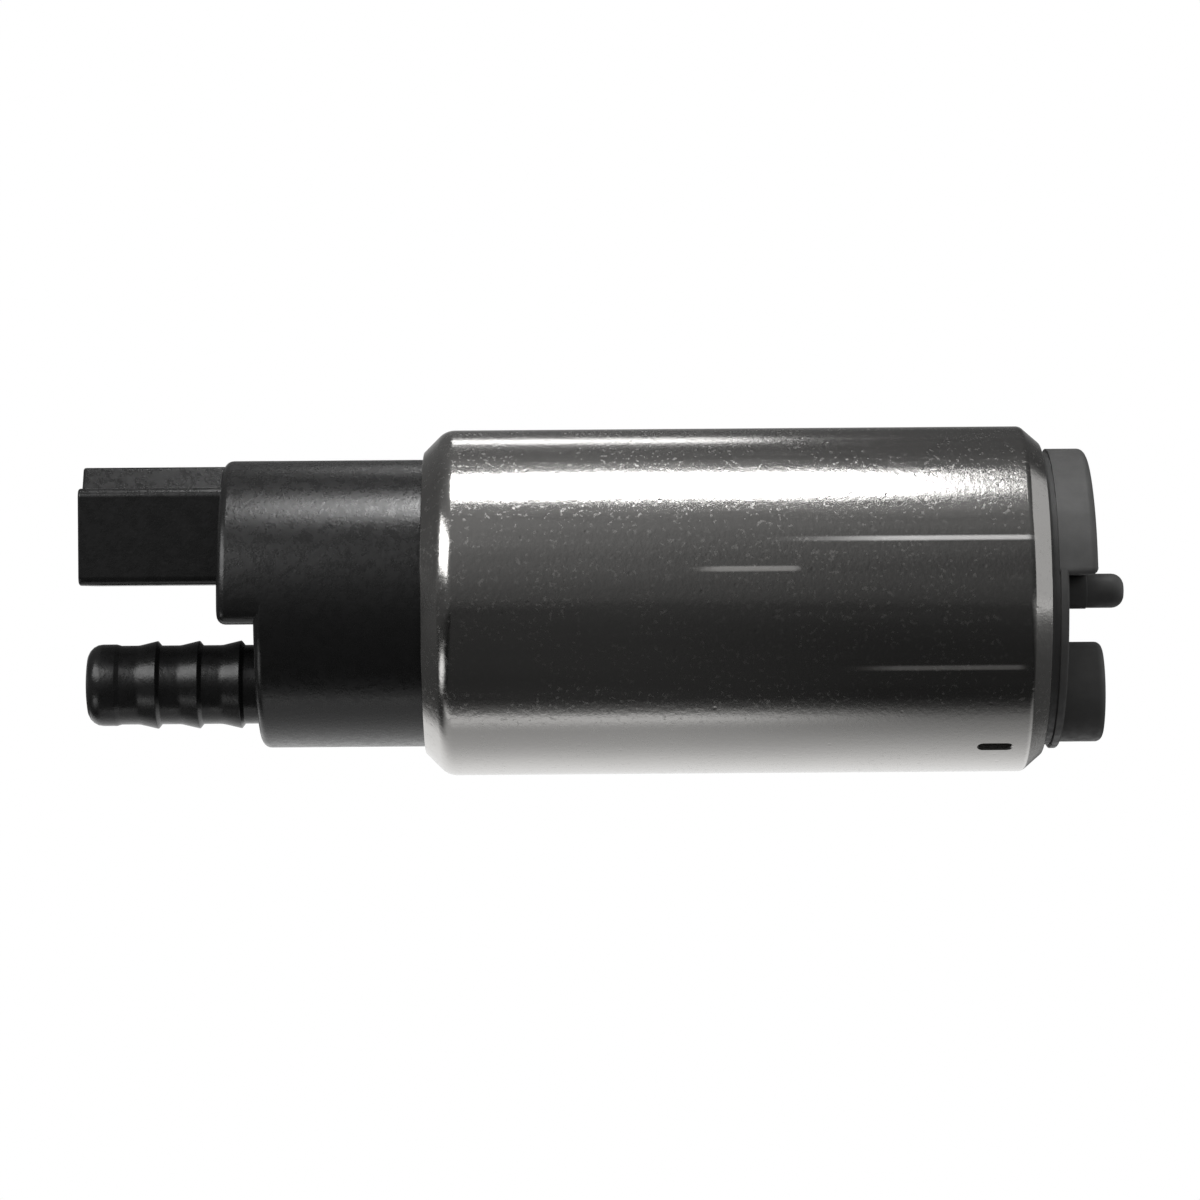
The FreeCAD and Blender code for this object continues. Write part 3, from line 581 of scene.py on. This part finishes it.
class Finish(Graph):
    """A material built from nodes on one Principled shader."""

    def __init__(self, name, tint, roughness, metallic=0.0, ior=1.5):
        self.material = bpy.data.materials.new(name)
        self.material.use_nodes = True
        super().__init__(self.material.node_tree)
        self.tint = tint
        self.roughness = roughness
        self.shader = self.node("BsdfPrincipled", {"Base Color": (*tint, 1), "Roughness": roughness,
                                                   "Metallic": metallic, "IOR": ior})
        self.output = self.node("OutputMaterial", {"Surface": self.shader.outputs["BSDF"]})
        self.place = self.node("TexCoord").outputs["Object"]

    def noise(self, scale, detail=3.0, place=None, roughness=0.5):
        """A noise height from 0 to 1, with a scale in cells a metre."""
        node = self.node("TexNoise", {"Vector": place or self.place, "Scale": scale, "Detail": detail,
                                      "Roughness": roughness})
        return node.outputs["Fac"]

    def tinted(self, value, dark, light):
        """Varies the colour between two multiples of the tint."""
        shades = [(*[min(1.0, part * share) for part in self.tint], 1) for share in (dark, light)]
        self.set(self.shader, {"Base Color": self.blended(value, *shades)})

    def glossed(self, value, low, high):
        """Varies the roughness between two multiples of it, by a noise."""
        self.set(self.shader, {"Roughness": self.ranged(value, *NOISE_SPAN, self.roughness * low,
                                                        self.roughness * high)})

    def bumped(self, height, distance):
        """Adds a height in metres to the surface, over any added before."""
        before = self.shader.inputs["Normal"]
        values = {"Height": height, "Distance": distance, "Strength": 1.0}
        if before.is_linked:
            values["Normal"] = before.links[0].from_socket
        self.set(self.shader, {"Normal": self.node("Bump", values).outputs["Normal"]})


def satin(name, tint, roughness, radius):
    """Drawn and tumbled steel: scored along the draw, peppered and pitted, with rougher raised draw lines, one
    carrying a painted highlight as a lighter colour.
    """
    look = Finish(name, tint, roughness, metallic=1.0)
    look.tinted(look.noise(60, 4), 0.92, 1.06)
    along = look.node("Mapping", {"Vector": look.place, "Scale": (20, 600, 600)})
    scores = look.noise(1.0, 3, along.outputs["Vector"])
    dull = look.ranged(scores, *NOISE_SPAN, roughness * 0.9, roughness * 1.15)
    pepper = look.ranged(look.noise(2200, 2), 0.56, 0.7, 0, 0.13)
    drifts = look.ranged(look.noise(140, 2), 0.35, 0.6, 0.55, 1)
    dull = look.maths("ADD", dull, look.maths("MULTIPLY", pepper, drifts))
    look.bumped(scores, 5e-7)
    look.bumped(look.noise(1700, 3, roughness=0.65), 1.5e-5)
    pits = look.node("TexVoronoi", {"Vector": look.place, "Scale": 420, "Randomness": 1.0})
    look.bumped(look.ranged(pits.outputs["Distance"], 0, 0.13, 0, 1), 1.4e-5)
    parts = look.apart(look.place)
    about = look.elevation(parts)
    half, soft = LINE_HALF / radius, LINE_SOFT / radius
    for turn, highlighted, start, full, end in DRAW_LINES:
        off = look.maths("ABSOLUTE", look.maths("SUBTRACT", about, radians(turn)))
        line = look.ranged(off, half, half + soft, 1, 0)
        line = look.maths("MULTIPLY", line, look.ranged(parts["X"], start, full, 0, 1))
        line = look.maths("MULTIPLY", line, look.ranged(parts["X"], end, end + LINE_FADE, 1, 0))
        dull = look.maths("ADD", dull, look.maths("MULTIPLY", line, LINE_DULL))
        # painted highlight: the line's steel is made lighter in colour
        if highlighted:
            below = look.shader.inputs["Base Color"].links[0].from_socket
            look.set(look.shader, {"Base Color": look.blended(line, below, HIGHLIGHT_STEEL)})
        look.bumped(line, LINE_DEPTH)
    look.set(look.shader, {"Roughness": dull})
    return look.material


def moulded(name, tint, roughness, grain, ior=1.5):
    """Moulded plastic with a spark-eroded grain, uneven in gloss and shade."""
    look = Finish(name, tint, roughness, ior=ior)
    look.tinted(look.noise(500, 4), 0.8, 1.25)
    look.glossed(look.noise(900, 4, roughness=0.7), 0.85, 1.25)
    look.bumped(look.noise(2100, 3, roughness=0.7), grain)
    return look.material


def worked(name, tint, roughness, pitch=0.0, depth=0.0, grain=2e-6):
    """Worked metal, with turns or layers of a depth along X where a pitch is given."""
    look = Finish(name, tint, roughness, metallic=1.0)
    look.tinted(look.noise(420, 4), 0.82, 1.12)
    look.glossed(look.noise(750, 3), 0.8, 1.35)
    if pitch:
        turns = look.maths("MULTIPLY", look.apart(look.place)["X"], 2 * pi / pitch)
        look.bumped(look.maths("SINE", turns), depth)
    look.bumped(look.noise(2800, 3), grain)
    return look.material


def poles(name):
    """The names of a piece's two nodes, one for each pole."""
    return name + "_positive", name + "_negative"


def dressed(material, *nodes):
    """Gives carried-over CAD nodes a material."""
    for node in nodes:
        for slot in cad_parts[node].material_slots:
            slot.material = material


# operators

class PUMP_OT_steel_can(bpy.types.Operator):
    """Makes the drawn steel can with its rolled ends and punched slot"""
    bl_idname = "pump.steel_can"
    bl_label = "Steel can"

    def execute(self, context):
        can = in_mm(context.scene.pump_can)
        piece = placed(turned(self.outline(can), sides=CAN_SIDES, looped=True), "Steel_can")
        combined(piece, "DIFFERENCE", self.slot_cutter(can))
        steel = satin("Can_steel", can.tint, can.roughness, can.radius)
        finished(piece, "Steel_can", steel, "pump_shell")
        return {"FINISHED"}

    def outline(self, can):
        """The can's section, outside from the outlet end to the inlet end and back inside."""
        inner = can.radius - can.wall
        rear_lip = can.rear_lip + can.wall * cos(can.rear_angle)
        rear_x = can.rear_corner - crimp_reach(can, rear_lip, can.rear_angle)
        front_x = can.front_corner + crimp_reach(can, can.front_lip, can.front_angle)
        front_inner_x = can.front_corner + crimp_reach(can, can.front_lip, can.front_angle, can.wall)
        slot_x = can.front_corner - can.slot_setback
        slot_edge = can.slot_length / 2 + SLOT_MARGIN
        return eased([
            (rear_x, rear_lip, EDGE),
            (can.rear_corner, can.radius, can.rear_bend),
            (slot_x - slot_edge, can.radius, 0),
            (slot_x + slot_edge, can.radius, 0),
            (can.front_corner, can.radius, can.front_bend),
            (front_x, can.front_lip, MOUTH_EDGE),
            (front_inner_x, can.front_lip, 0),
            (can.front_corner - can.wall * tan(can.front_angle / 2), inner, EDGE),
            (slot_x - slot_edge, inner, 0),
            (can.rear_corner + can.wall * tan(can.rear_angle / 2), inner, can.rear_bend - can.wall),
            (rear_x + can.wall * sin(can.rear_angle), can.rear_lip, EDGE),
        ], steps=8)

    def slot_cutter(self, can):
        """A round-ended bar through the wall, flared where it comes out."""
        half = can.slot_width / 2
        capsule = box_outline(half, -can.slot_length / 2, can.slot_length / 2, half * ALMOST)
        cutter = prism(capsule, can.radius - can.wall - PAST, can.radius + SLOT_PROUD, 0, -SLOT_FLARE)
        place = Matrix.Translation((can.front_corner - can.slot_setback, 0, 0))
        upright = Matrix.Rotation(-pi / 2, 4, "Y")
        cutter.transform(Matrix.Rotation(can.slot_angle, 4, "X") @ place @ upright)
        return cutter


class PUMP_OT_outlet_cap(bpy.types.Operator):
    """Makes the black outlet cap with its half-moon step, plug socket and barbed hose outlet"""
    bl_idname = "pump.outlet_cap"
    bl_label = "Outlet cap"

    def execute(self, context):
        can = in_mm(context.scene.pump_can)
        cap = in_mm(context.scene.pump_cap)
        barb = in_mm(context.scene.pump_barb)
        piece = placed(turned(self.body(can, cap)), "Outlet_cap")
        moon = half_moon(cap.radius + SKIN, cap.chord, cap.edge_round * 1.9)
        step = prism(moon, cap.step, cap.end + cap.edge_round * 1.5, cap.edge_round, 0)
        shroud = prism(self.socket_outline(cap), barb.tip, cap.step + PAST, MOUTH_EDGE, 0)
        combined(piece, "UNION", step, shroud)
        room = box_outline(cap.socket_half - cap.socket_wall, cap.socket_low + cap.socket_wall,
                           cap.socket_high - cap.socket_wall, 0.9)
        hollow = prism(room, barb.tip - OPEN, cap.socket_floor, -FLARE, 0)
        combined(piece, "DIFFERENCE", hollow, rod(cap.cavity, cap.cavity_end, cap.front + PAST, sides=128))
        root = cap.cavity_end - TUBE_ROOT
        tube = rod(barb.chamber + barb.chamber_wall, root, barb.chamber_mouth, 0, barb.height)
        combined(piece, "UNION", tube, self.barbed_outlet(cap, barb))
        hole = round_outline(barb.bore, barb.height)
        bore = prism(hole, barb.tip - OPEN, barb.chamber_floor + OVERLAP, -FLARE, 0)
        chamber = rod(barb.chamber, barb.chamber_floor, barb.chamber_mouth + PAST, 0, barb.height)
        combined(piece, "DIFFERENCE", chamber, bore, *self.blade_passages(cap))
        plastic = moulded("Black_plastic", cap.tint, cap.roughness, grain=2.4e-5, ior=1.6)
        finished(piece, "Outlet_cap", plastic, "outlet_cover")
        return {"FINISHED"}

    def body(self, can, cap):
        """The section of the round cap, with its flange under the can's crimp."""
        skin = can.wall + FIT_GAP
        return eased([
            (cap.front, HUB, 0),
            (cap.front, cap.flange, EDGE),
            (can.rear_corner + skin * tan(can.rear_angle / 2), cap.flange, can.rear_bend - skin),
            (can.rear_corner - crimp_reach(can, cap.radius, can.rear_angle, skin), cap.radius, SOFT_EDGE),
            (cap.end, cap.radius, cap.edge_round),
            (cap.end, HUB, 0),
        ])

    def socket_outline(self, cap):
        """The plug socket's outside in (y, z), with the key rib on top."""
        near = [
            (cap.socket_half, cap.socket_low, cap.socket_round),
            (cap.socket_half, cap.socket_high, cap.socket_round),
            (cap.rib_base, cap.socket_high, SOFT_EDGE),
            (cap.rib_crown, cap.rib_high, 2 * SOFT_EDGE),
        ]
        return eased(near + [(-y, z, rounding) for y, z, rounding in reversed(near)])

    def blade_passages(self, cap):
        """A slit for each blade through the wall between socket and cap."""
        middle = (cap.socket_low + cap.socket_high) / 2
        low, high = middle - SLIT_HIGH / 2, middle + SLIT_HIGH / 2
        slits = []
        for y in (-BLADE_ACROSS, BLADE_ACROSS):
            left, right = y - SLIT_WIDE / 2, y + SLIT_WIDE / 2
            slits.append(prism([(left, low), (right, low), (right, high), (left, high)],
                               cap.socket_floor - OVERLAP, cap.cavity_end + OVERLAP))
        return slits

    def barbed_outlet(self, cap, barb):
        """The hose outlet, turned about its own axis."""
        nose_end = barb.tip + barb.nose_length
        corners = [
            (barb.tip, HUB, 0),
            (barb.tip, barb.nose, barb.nose_round),
            (nose_end, barb.nose, SOFT_EDGE),
            (nose_end + 0.5, barb.stem, SOFT_EDGE),
        ]
        for index in range(barb.barbs):
            crest = barb.tip + barb.first + index * barb.pitch
            corners += [
                (crest - barb.rise, barb.stem, 2.5),
                (crest, barb.crest, 0.13),
                (crest + barb.fall, barb.stem, 0.15),
            ]
        root = barb.stem + ROOT_COLLAR
        corners += [
            (cap.end - 0.45, barb.stem, SOFT_EDGE),
            (cap.end + 0.05, root, 0),
            (cap.end + 1.2, root, 0),
            (cap.end + 1.2, HUB, 0),
        ]
        return turned(eased(corners, steps=5), 0, barb.height, sides=96)


class PUMP_OT_inlet_cover(bpy.types.Operator):
    """Makes the grey inlet cover with its half-moon boss, inlet tube and locating peg"""
    bl_idname = "pump.inlet_cover"
    bl_label = "Inlet cover"

    def execute(self, context):
        can = in_mm(context.scene.pump_can)
        cover = in_mm(context.scene.pump_cover)
        piece = placed(turned(self.body(can, cover)), "Inlet_cover")
        moon = half_moon(cover.nose + SKIN, cover.chord, 2 * SOFT_EDGE)
        boss = prism(moon, cover.plate - PAST, cover.boss + BOSS_PROUD, 0, cover.boss_round * 2)
        root = cover.plate - 2 * PAST
        tube = turned(eased([
            (root, HUB, 0),
            (root, cover.tube, 0),
            (cover.tube_end, cover.tube, cover.tube_round),
            (cover.tube_end, HUB, 0),
        ]), 0, cover.tube_height, sides=96)
        peg = turned(eased([
            (root, PEG_HUB, 0),
            (root, cover.peg_collar, 0),
            (cover.boss, cover.peg_collar, 0.12),
            (cover.boss, cover.peg, 0),
            (cover.peg_end, cover.peg, cover.peg_round),
            (cover.peg_end, PEG_HUB, 0),
        ]), cover.peg_y, cover.peg_z, sides=64)
        combined(piece, "UNION", boss, tube, peg)
        behind = cover.joint - PAST
        hole = round_outline(cover.tube_bore, cover.tube_height)
        bore = prism(hole, cover.tube_floor, cover.tube_end + OPEN, 0, -FLARE)
        port = rod(cover.port, behind, cover.tube_floor + PAST, 0, -cover.channel_inner, sides=48)
        pocket = rod(cover.pad, behind, cover.joint + cover.pad_depth, sides=64)
        ring = ring_part(cover.channel_inner, cover.channel_outer, CHANNEL_START, CHANNEL_SWEEP)
        channel = prism(ring, behind, cover.joint + cover.channel_depth)
        combined(piece, "DIFFERENCE", bore, port, pocket, channel)
        plastic = moulded("Grey_plastic", cover.tint, cover.roughness, grain=1.4e-5)
        finished(piece, "Inlet_cover", plastic, "inlet_cover")
        return {"FINISHED"}

    def body(self, can, cover):
        """The section of the round cover, with the groove beside the can's lip."""
        skin = can.wall + FIT_GAP
        waist = cover.nose - GROOVE_DEEP
        return eased([
            (cover.joint, HUB, 0),
            (cover.joint, cover.flange, 0.15),
            (can.front_corner - skin * tan(can.front_angle / 2), cover.flange, SOFT_EDGE),
            (can.front_corner + crimp_reach(can, cover.nose, can.front_angle, skin), cover.nose, 0),
            (cover.groove, waist, 0.1),
            (cover.groove + GROOVE_LONG, waist, 0.05),
            (cover.groove + GROOVE_LONG + 0.1, cover.nose, 0.1),
            (cover.plate, cover.nose, 0.35),
            (cover.plate, HUB, 0),
        ])


class PUMP_OT_terminals(bpy.types.Operator):
    """Finishes the plug's blades and the interference chokes behind them"""
    bl_idname = "pump.terminals"
    bl_label = "Terminals and chokes"

    def execute(self, context):
        dressed(worked("Tinned_brass", (0.62, 0.6, 0.52), 0.3, pitch=0.00035, depth=4e-7),
                *poles("terminal_blade"))
        dressed(moulded("Choke_ferrite", (0.06, 0.06, 0.062), 0.5, grain=6e-6), *poles("choke_core"))
        dressed(worked("Choke_wire", COPPER, 0.28, pitch=0.0008, depth=0.00012), *poles("choke_winding"))
        return {"FINISHED"}


class PUMP_OT_check_valve(bpy.types.Operator):
    """Makes the check valve's spring, and finishes the rest of the valve and the seal behind the cap"""
    bl_idname = "pump.check_valve"
    bl_label = "Check valve"

    def execute(self, context):
        dressed(moulded("Seal_rubber", (0.03, 0.03, 0.03), 0.62, grain=4e-6),
                "outlet_seal", "check_valve_seat")
        dressed(moulded("Guide_plastic", (0.025, 0.025, 0.026), 0.4, grain=4e-6), "check_valve_guide")
        spring = in_mm(context.scene.pump_spring)
        sprung("check_valve_spring", "Valve_spring", spring.valve_wire, spring.valve_pitch,
               worked("Valve_spring_wire", WIRE_STEEL, 0.26))
        dressed(moulded("Poppet_plastic", (0.75, 0.74, 0.7), 0.38, grain=2e-6), "check_valve_poppet")
        return {"FINISHED"}


class PUMP_OT_brush_gear(bpy.types.Operator):
    """Makes the brush springs, and finishes the brush holder, the brushes and their leads"""
    bl_idname = "pump.brush_gear"
    bl_label = "Brush gear"

    def execute(self, context):
        dressed(moulded("Holder_plastic", (0.35, 0.3, 0.22), 0.45, grain=4e-6), "brush_holder")
        dressed(moulded("Brush_carbon", (0.04, 0.04, 0.042), 0.4, grain=8e-6), *poles("brush"))
        spring = in_mm(context.scene.pump_spring)
        wire = worked("Brush_spring_wire", WIRE_STEEL, 0.26)
        for pole in ("positive", "negative"):
            sprung("brush_spring_" + pole, "Brush_spring_" + pole, spring.brush_wire, spring.brush_pitch,
                   wire)
        dressed(worked("Lead_braid", COPPER, 0.36, pitch=0.0005, depth=0.00008), *poles("brush_lead"))
        return {"FINISHED"}


class PUMP_OT_motor(bpy.types.Operator):
    """Finishes the flux ring, the magnets, the rotor and the bushes"""
    bl_idname = "pump.motor"
    bl_label = "Motor"

    def execute(self, context):
        dressed(worked("Ring_steel", (0.35, 0.35, 0.36), 0.38), "flux_ring")
        dressed(moulded("Magnet_ferrite", (0.08, 0.08, 0.083), 0.52, grain=7e-6),
                "magnet_upper", "magnet_lower")
        dressed(worked("Clip_steel", WIRE_STEEL, 0.25), "magnet_clip_far", "magnet_clip_near")
        dressed(worked("Shaft_steel", (0.7, 0.69, 0.68), 0.2, pitch=0.0003, depth=2e-7, grain=6e-7), "shaft")
        dressed(worked("Laminations", (0.2, 0.2, 0.21), 0.42, pitch=0.0005, depth=0.00004),
                "lamination_stack")
        dressed(worked("Armature_wire", COPPER, 0.3, pitch=0.0007, depth=0.00009), "armature_winding")
        dressed(moulded("Commutator_base", (0.12, 0.07, 0.04), 0.42, grain=4e-6), "commutator_base")
        dressed(moulded("Commutator_carbon", (0.05, 0.05, 0.052), 0.34, grain=5e-6),
                "commutator_segments")
        dressed(worked("Sintered_bronze", (0.5, 0.33, 0.15), 0.42, grain=1.2e-5), "rear_bush", "front_bush")
        return {"FINISHED"}


class PUMP_OT_turbine(bpy.types.Operator):
    """Finishes the turbine stage: housing, impeller and thrust pad"""
    bl_idname = "pump.turbine"
    bl_label = "Turbine"

    def execute(self, context):
        dressed(moulded("Housing_plastic", (0.1, 0.1, 0.1), 0.46, grain=4e-6), "pump_housing")
        dressed(moulded("Impeller_plastic", (0.14, 0.1, 0.06), 0.4, grain=3e-6), "impeller")
        dressed(moulded("Pad_plastic", (0.7, 0.68, 0.6), 0.35, grain=2e-6), "thrust_pad")
        return {"FINISHED"}


class PUMP_OT_studio(bpy.types.Operator):
    """Sets up the camera, the floor, the lights and the room"""
    bl_idname = "pump.studio"
    bl_label = "Studio"

    def execute(self, context):
        studio = context.scene.pump_studio
        self.camera(context, studio)
        self.floor(studio)
        self.room(context, studio)
        for setting, *light in LIGHTS:
            self.panel(context, getattr(studio, setting), *light)
        context.scene.view_settings.view_transform = "Standard"
        return {"FINISHED"}

    def camera(self, context, studio):
        """A level camera that faces the pump's near side."""
        data = bpy.data.cameras.new("Camera")
        data.lens = studio.lens
        data.sensor_width = SENSOR_WIDTH
        camera = bpy.data.objects.new("Camera", data)
        camera.location = (studio.across, -studio.distance, studio.height)
        level = Matrix.Rotation(pi / 2, 4, "X")
        camera.rotation_euler = (level @ Matrix.Rotation(-studio.roll, 4, "Z")).to_euler()
        context.scene.collection.objects.link(camera)
        context.scene.camera = camera

    def panel(self, context, brightness, name, place, size, target):
        """A soft rectangular light of an even brightness that faces a target."""
        data = bpy.data.lights.new(name, "AREA")
        data.shape = "RECTANGLE"
        data.size, data.size_y = size
        data.energy = brightness * pi * size[0] * size[1]
        lamp = bpy.data.objects.new(name, data)
        lamp.location = place
        lamp.rotation_euler = (Vector(target) - Vector(place)).to_track_quat("-Z", "Y").to_euler()
        context.scene.collection.objects.link(lamp)

    def floor(self, studio):
        """A pale floor that takes the pump's shadow and fades into the white of the room."""
        bm = bmesh.new()
        corners = [(-1, -1), (1, -1), (1, 1), (-1, 1)]
        bm.faces.new([bm.verts.new((x * FLOOR_HALF, y * FLOOR_HALF, studio.floor)) for x, y in corners])
        floor = placed(bm, "Floor")
        look = Finish("Floor_paper", studio.floor_tint, 0.9)
        flat = look.node("Mapping", {"Vector": look.place, "Scale": (1, 1, 0)}).outputs["Vector"]
        away = look.node("VectorMath", {0: flat}, operation="LENGTH").outputs["Value"]
        seen = look.node("MixShader", {"Fac": look.ranged(away, 0.12, 0.25, 0.3, 1),
                                       1: look.shader.outputs["BSDF"], 2: self.glow(look, 1.0)})
        glossy = look.node("LightPath").outputs["Is Glossy Ray"]
        strength = look.mixed(glossy, FLOOR_SOFT, self.mirrored_floor(look, studio))
        surface = look.node("MixShader", {"Fac": look.clear_rays(), 1: self.glow(look, strength),
                                          2: seen.outputs[0]})
        look.set(look.output, {"Surface": surface.outputs[0]})
        floor.data.materials.append(look.material)

    def mirrored_floor(self, look, studio):
        """How bright the floor is where the pump mirrors it."""
        parts = look.apart(look.place)
        along = look.ranged(parts["X"], -0.01, 0.03, 0, 1)
        under = look.mixed(along, look.ramp(parts["Y"], FLOOR_OUTLET), look.ramp(parts["Y"], FLOOR_INLET))
        outward = look.maths("SUBTRACT", look.maths("MULTIPLY", parts["X"], -1.27),
                             look.ranged(parts["Y"], 0.02, 0.15, 0, 0.17, smooth=False))
        past_end = look.maths("MAXIMUM", outward, parts["X"])
        under = look.maths("MULTIPLY", under, look.ranged(past_end, 0.08, 0.15, 1, 0.05))
        under = look.maths("ADD", under, look.ramp(parts["X"], FLOOR_ASIDE))
        patch = look.node("VectorMath", {0: look.place, 1: (*FLOOR_PATCH, studio.floor)}, operation="DISTANCE")
        return look.maths("ADD", under, look.ranged(patch.outputs["Value"], 0.02, 0.07, 1.4, 0))

    def glow(self, look, strength):
        """A white emission."""
        return look.node("Emission", {"Color": WHITE, "Strength": strength}).outputs["Emission"]

    def room(self, context, studio):
        """A room that is white to the camera, soft for the pump and graded where mirrored."""
        world = bpy.data.worlds.new("Studio_room")
        world.use_nodes = True
        room = Graph(world.node_tree)
        parts = room.apart(room.node("TexCoord").outputs["Generated"])
        rise = room.maths("MULTIPLY", room.elevation(parts), 180 / pi)
        graded = room.mixed(room.ranged(parts["X"], 0.02, 0.075, 0, 1), room.ramp(rise, ROOM_OUTLET),
                            room.ramp(rise, ROOM_INLET))
        along = room.ranged(parts["X"], -0.06, 0.12, 1.2, 0.8)
        ends = room.ranged(room.maths("ABSOLUTE", parts["X"]), 0.3, 0.7, 1, 0.7)
        mirrored = room.maths("MULTIPLY", graded, room.maths("MULTIPLY", along, ends))
        ambient = room.ranged(parts["Z"], -0.2, 0.6, 0.1, studio.ambient)
        soft = room.mixed(room.node("LightPath").outputs["Is Glossy Ray"], ambient, mirrored)
        strength = room.mixed(room.clear_rays(), soft, 1.0)
        background = room.node("Background", {"Color": WHITE, "Strength": strength})
        room.node("OutputWorld", {"Surface": background.outputs[0]})
        context.scene.world = world


class PUMP_PT_panel(bpy.types.Panel):
    """Lists the operators of the pump and its studio"""
    bl_idname = "PUMP_PT_panel"
    bl_label = "Fuel pump"
    bl_space_type = "VIEW_3D"
    bl_region_type = "UI"
    bl_category = "Fuel pump"

    def draw(self, context):
        for operator in OPERATORS:
            self.layout.operator(operator.bl_idname)


SETTINGS = {
    "pump_can": CanSettings,
    "pump_cap": CapSettings,
    "pump_barb": BarbSettings,
    "pump_spring": SpringSettings,
    "pump_cover": CoverSettings,
    "pump_studio": StudioSettings,
}
OPERATORS = (PUMP_OT_steel_can, PUMP_OT_outlet_cap, PUMP_OT_inlet_cover, PUMP_OT_terminals, PUMP_OT_check_valve,
             PUMP_OT_brush_gear, PUMP_OT_motor, PUMP_OT_turbine, PUMP_OT_studio)
CLASSES = (*SETTINGS.values(), *OPERATORS, PUMP_PT_panel)


def register():
    for cls in CLASSES:
        bpy.utils.register_class(cls)
    for name, group in SETTINGS.items():
        setattr(bpy.types.Scene, name, PointerProperty(type=group))


def unregister():
    for name in SETTINGS:
        delattr(bpy.types.Scene, name)
    for cls in reversed(CLASSES):
        bpy.utils.unregister_class(cls)


def main():
    """Builds every piece and the studio."""
    register()
    for operator in OPERATORS:
        group, name = operator.bl_idname.split(".")
        getattr(getattr(bpy.ops, group), name)()


if __name__ == "__main__":
    main()
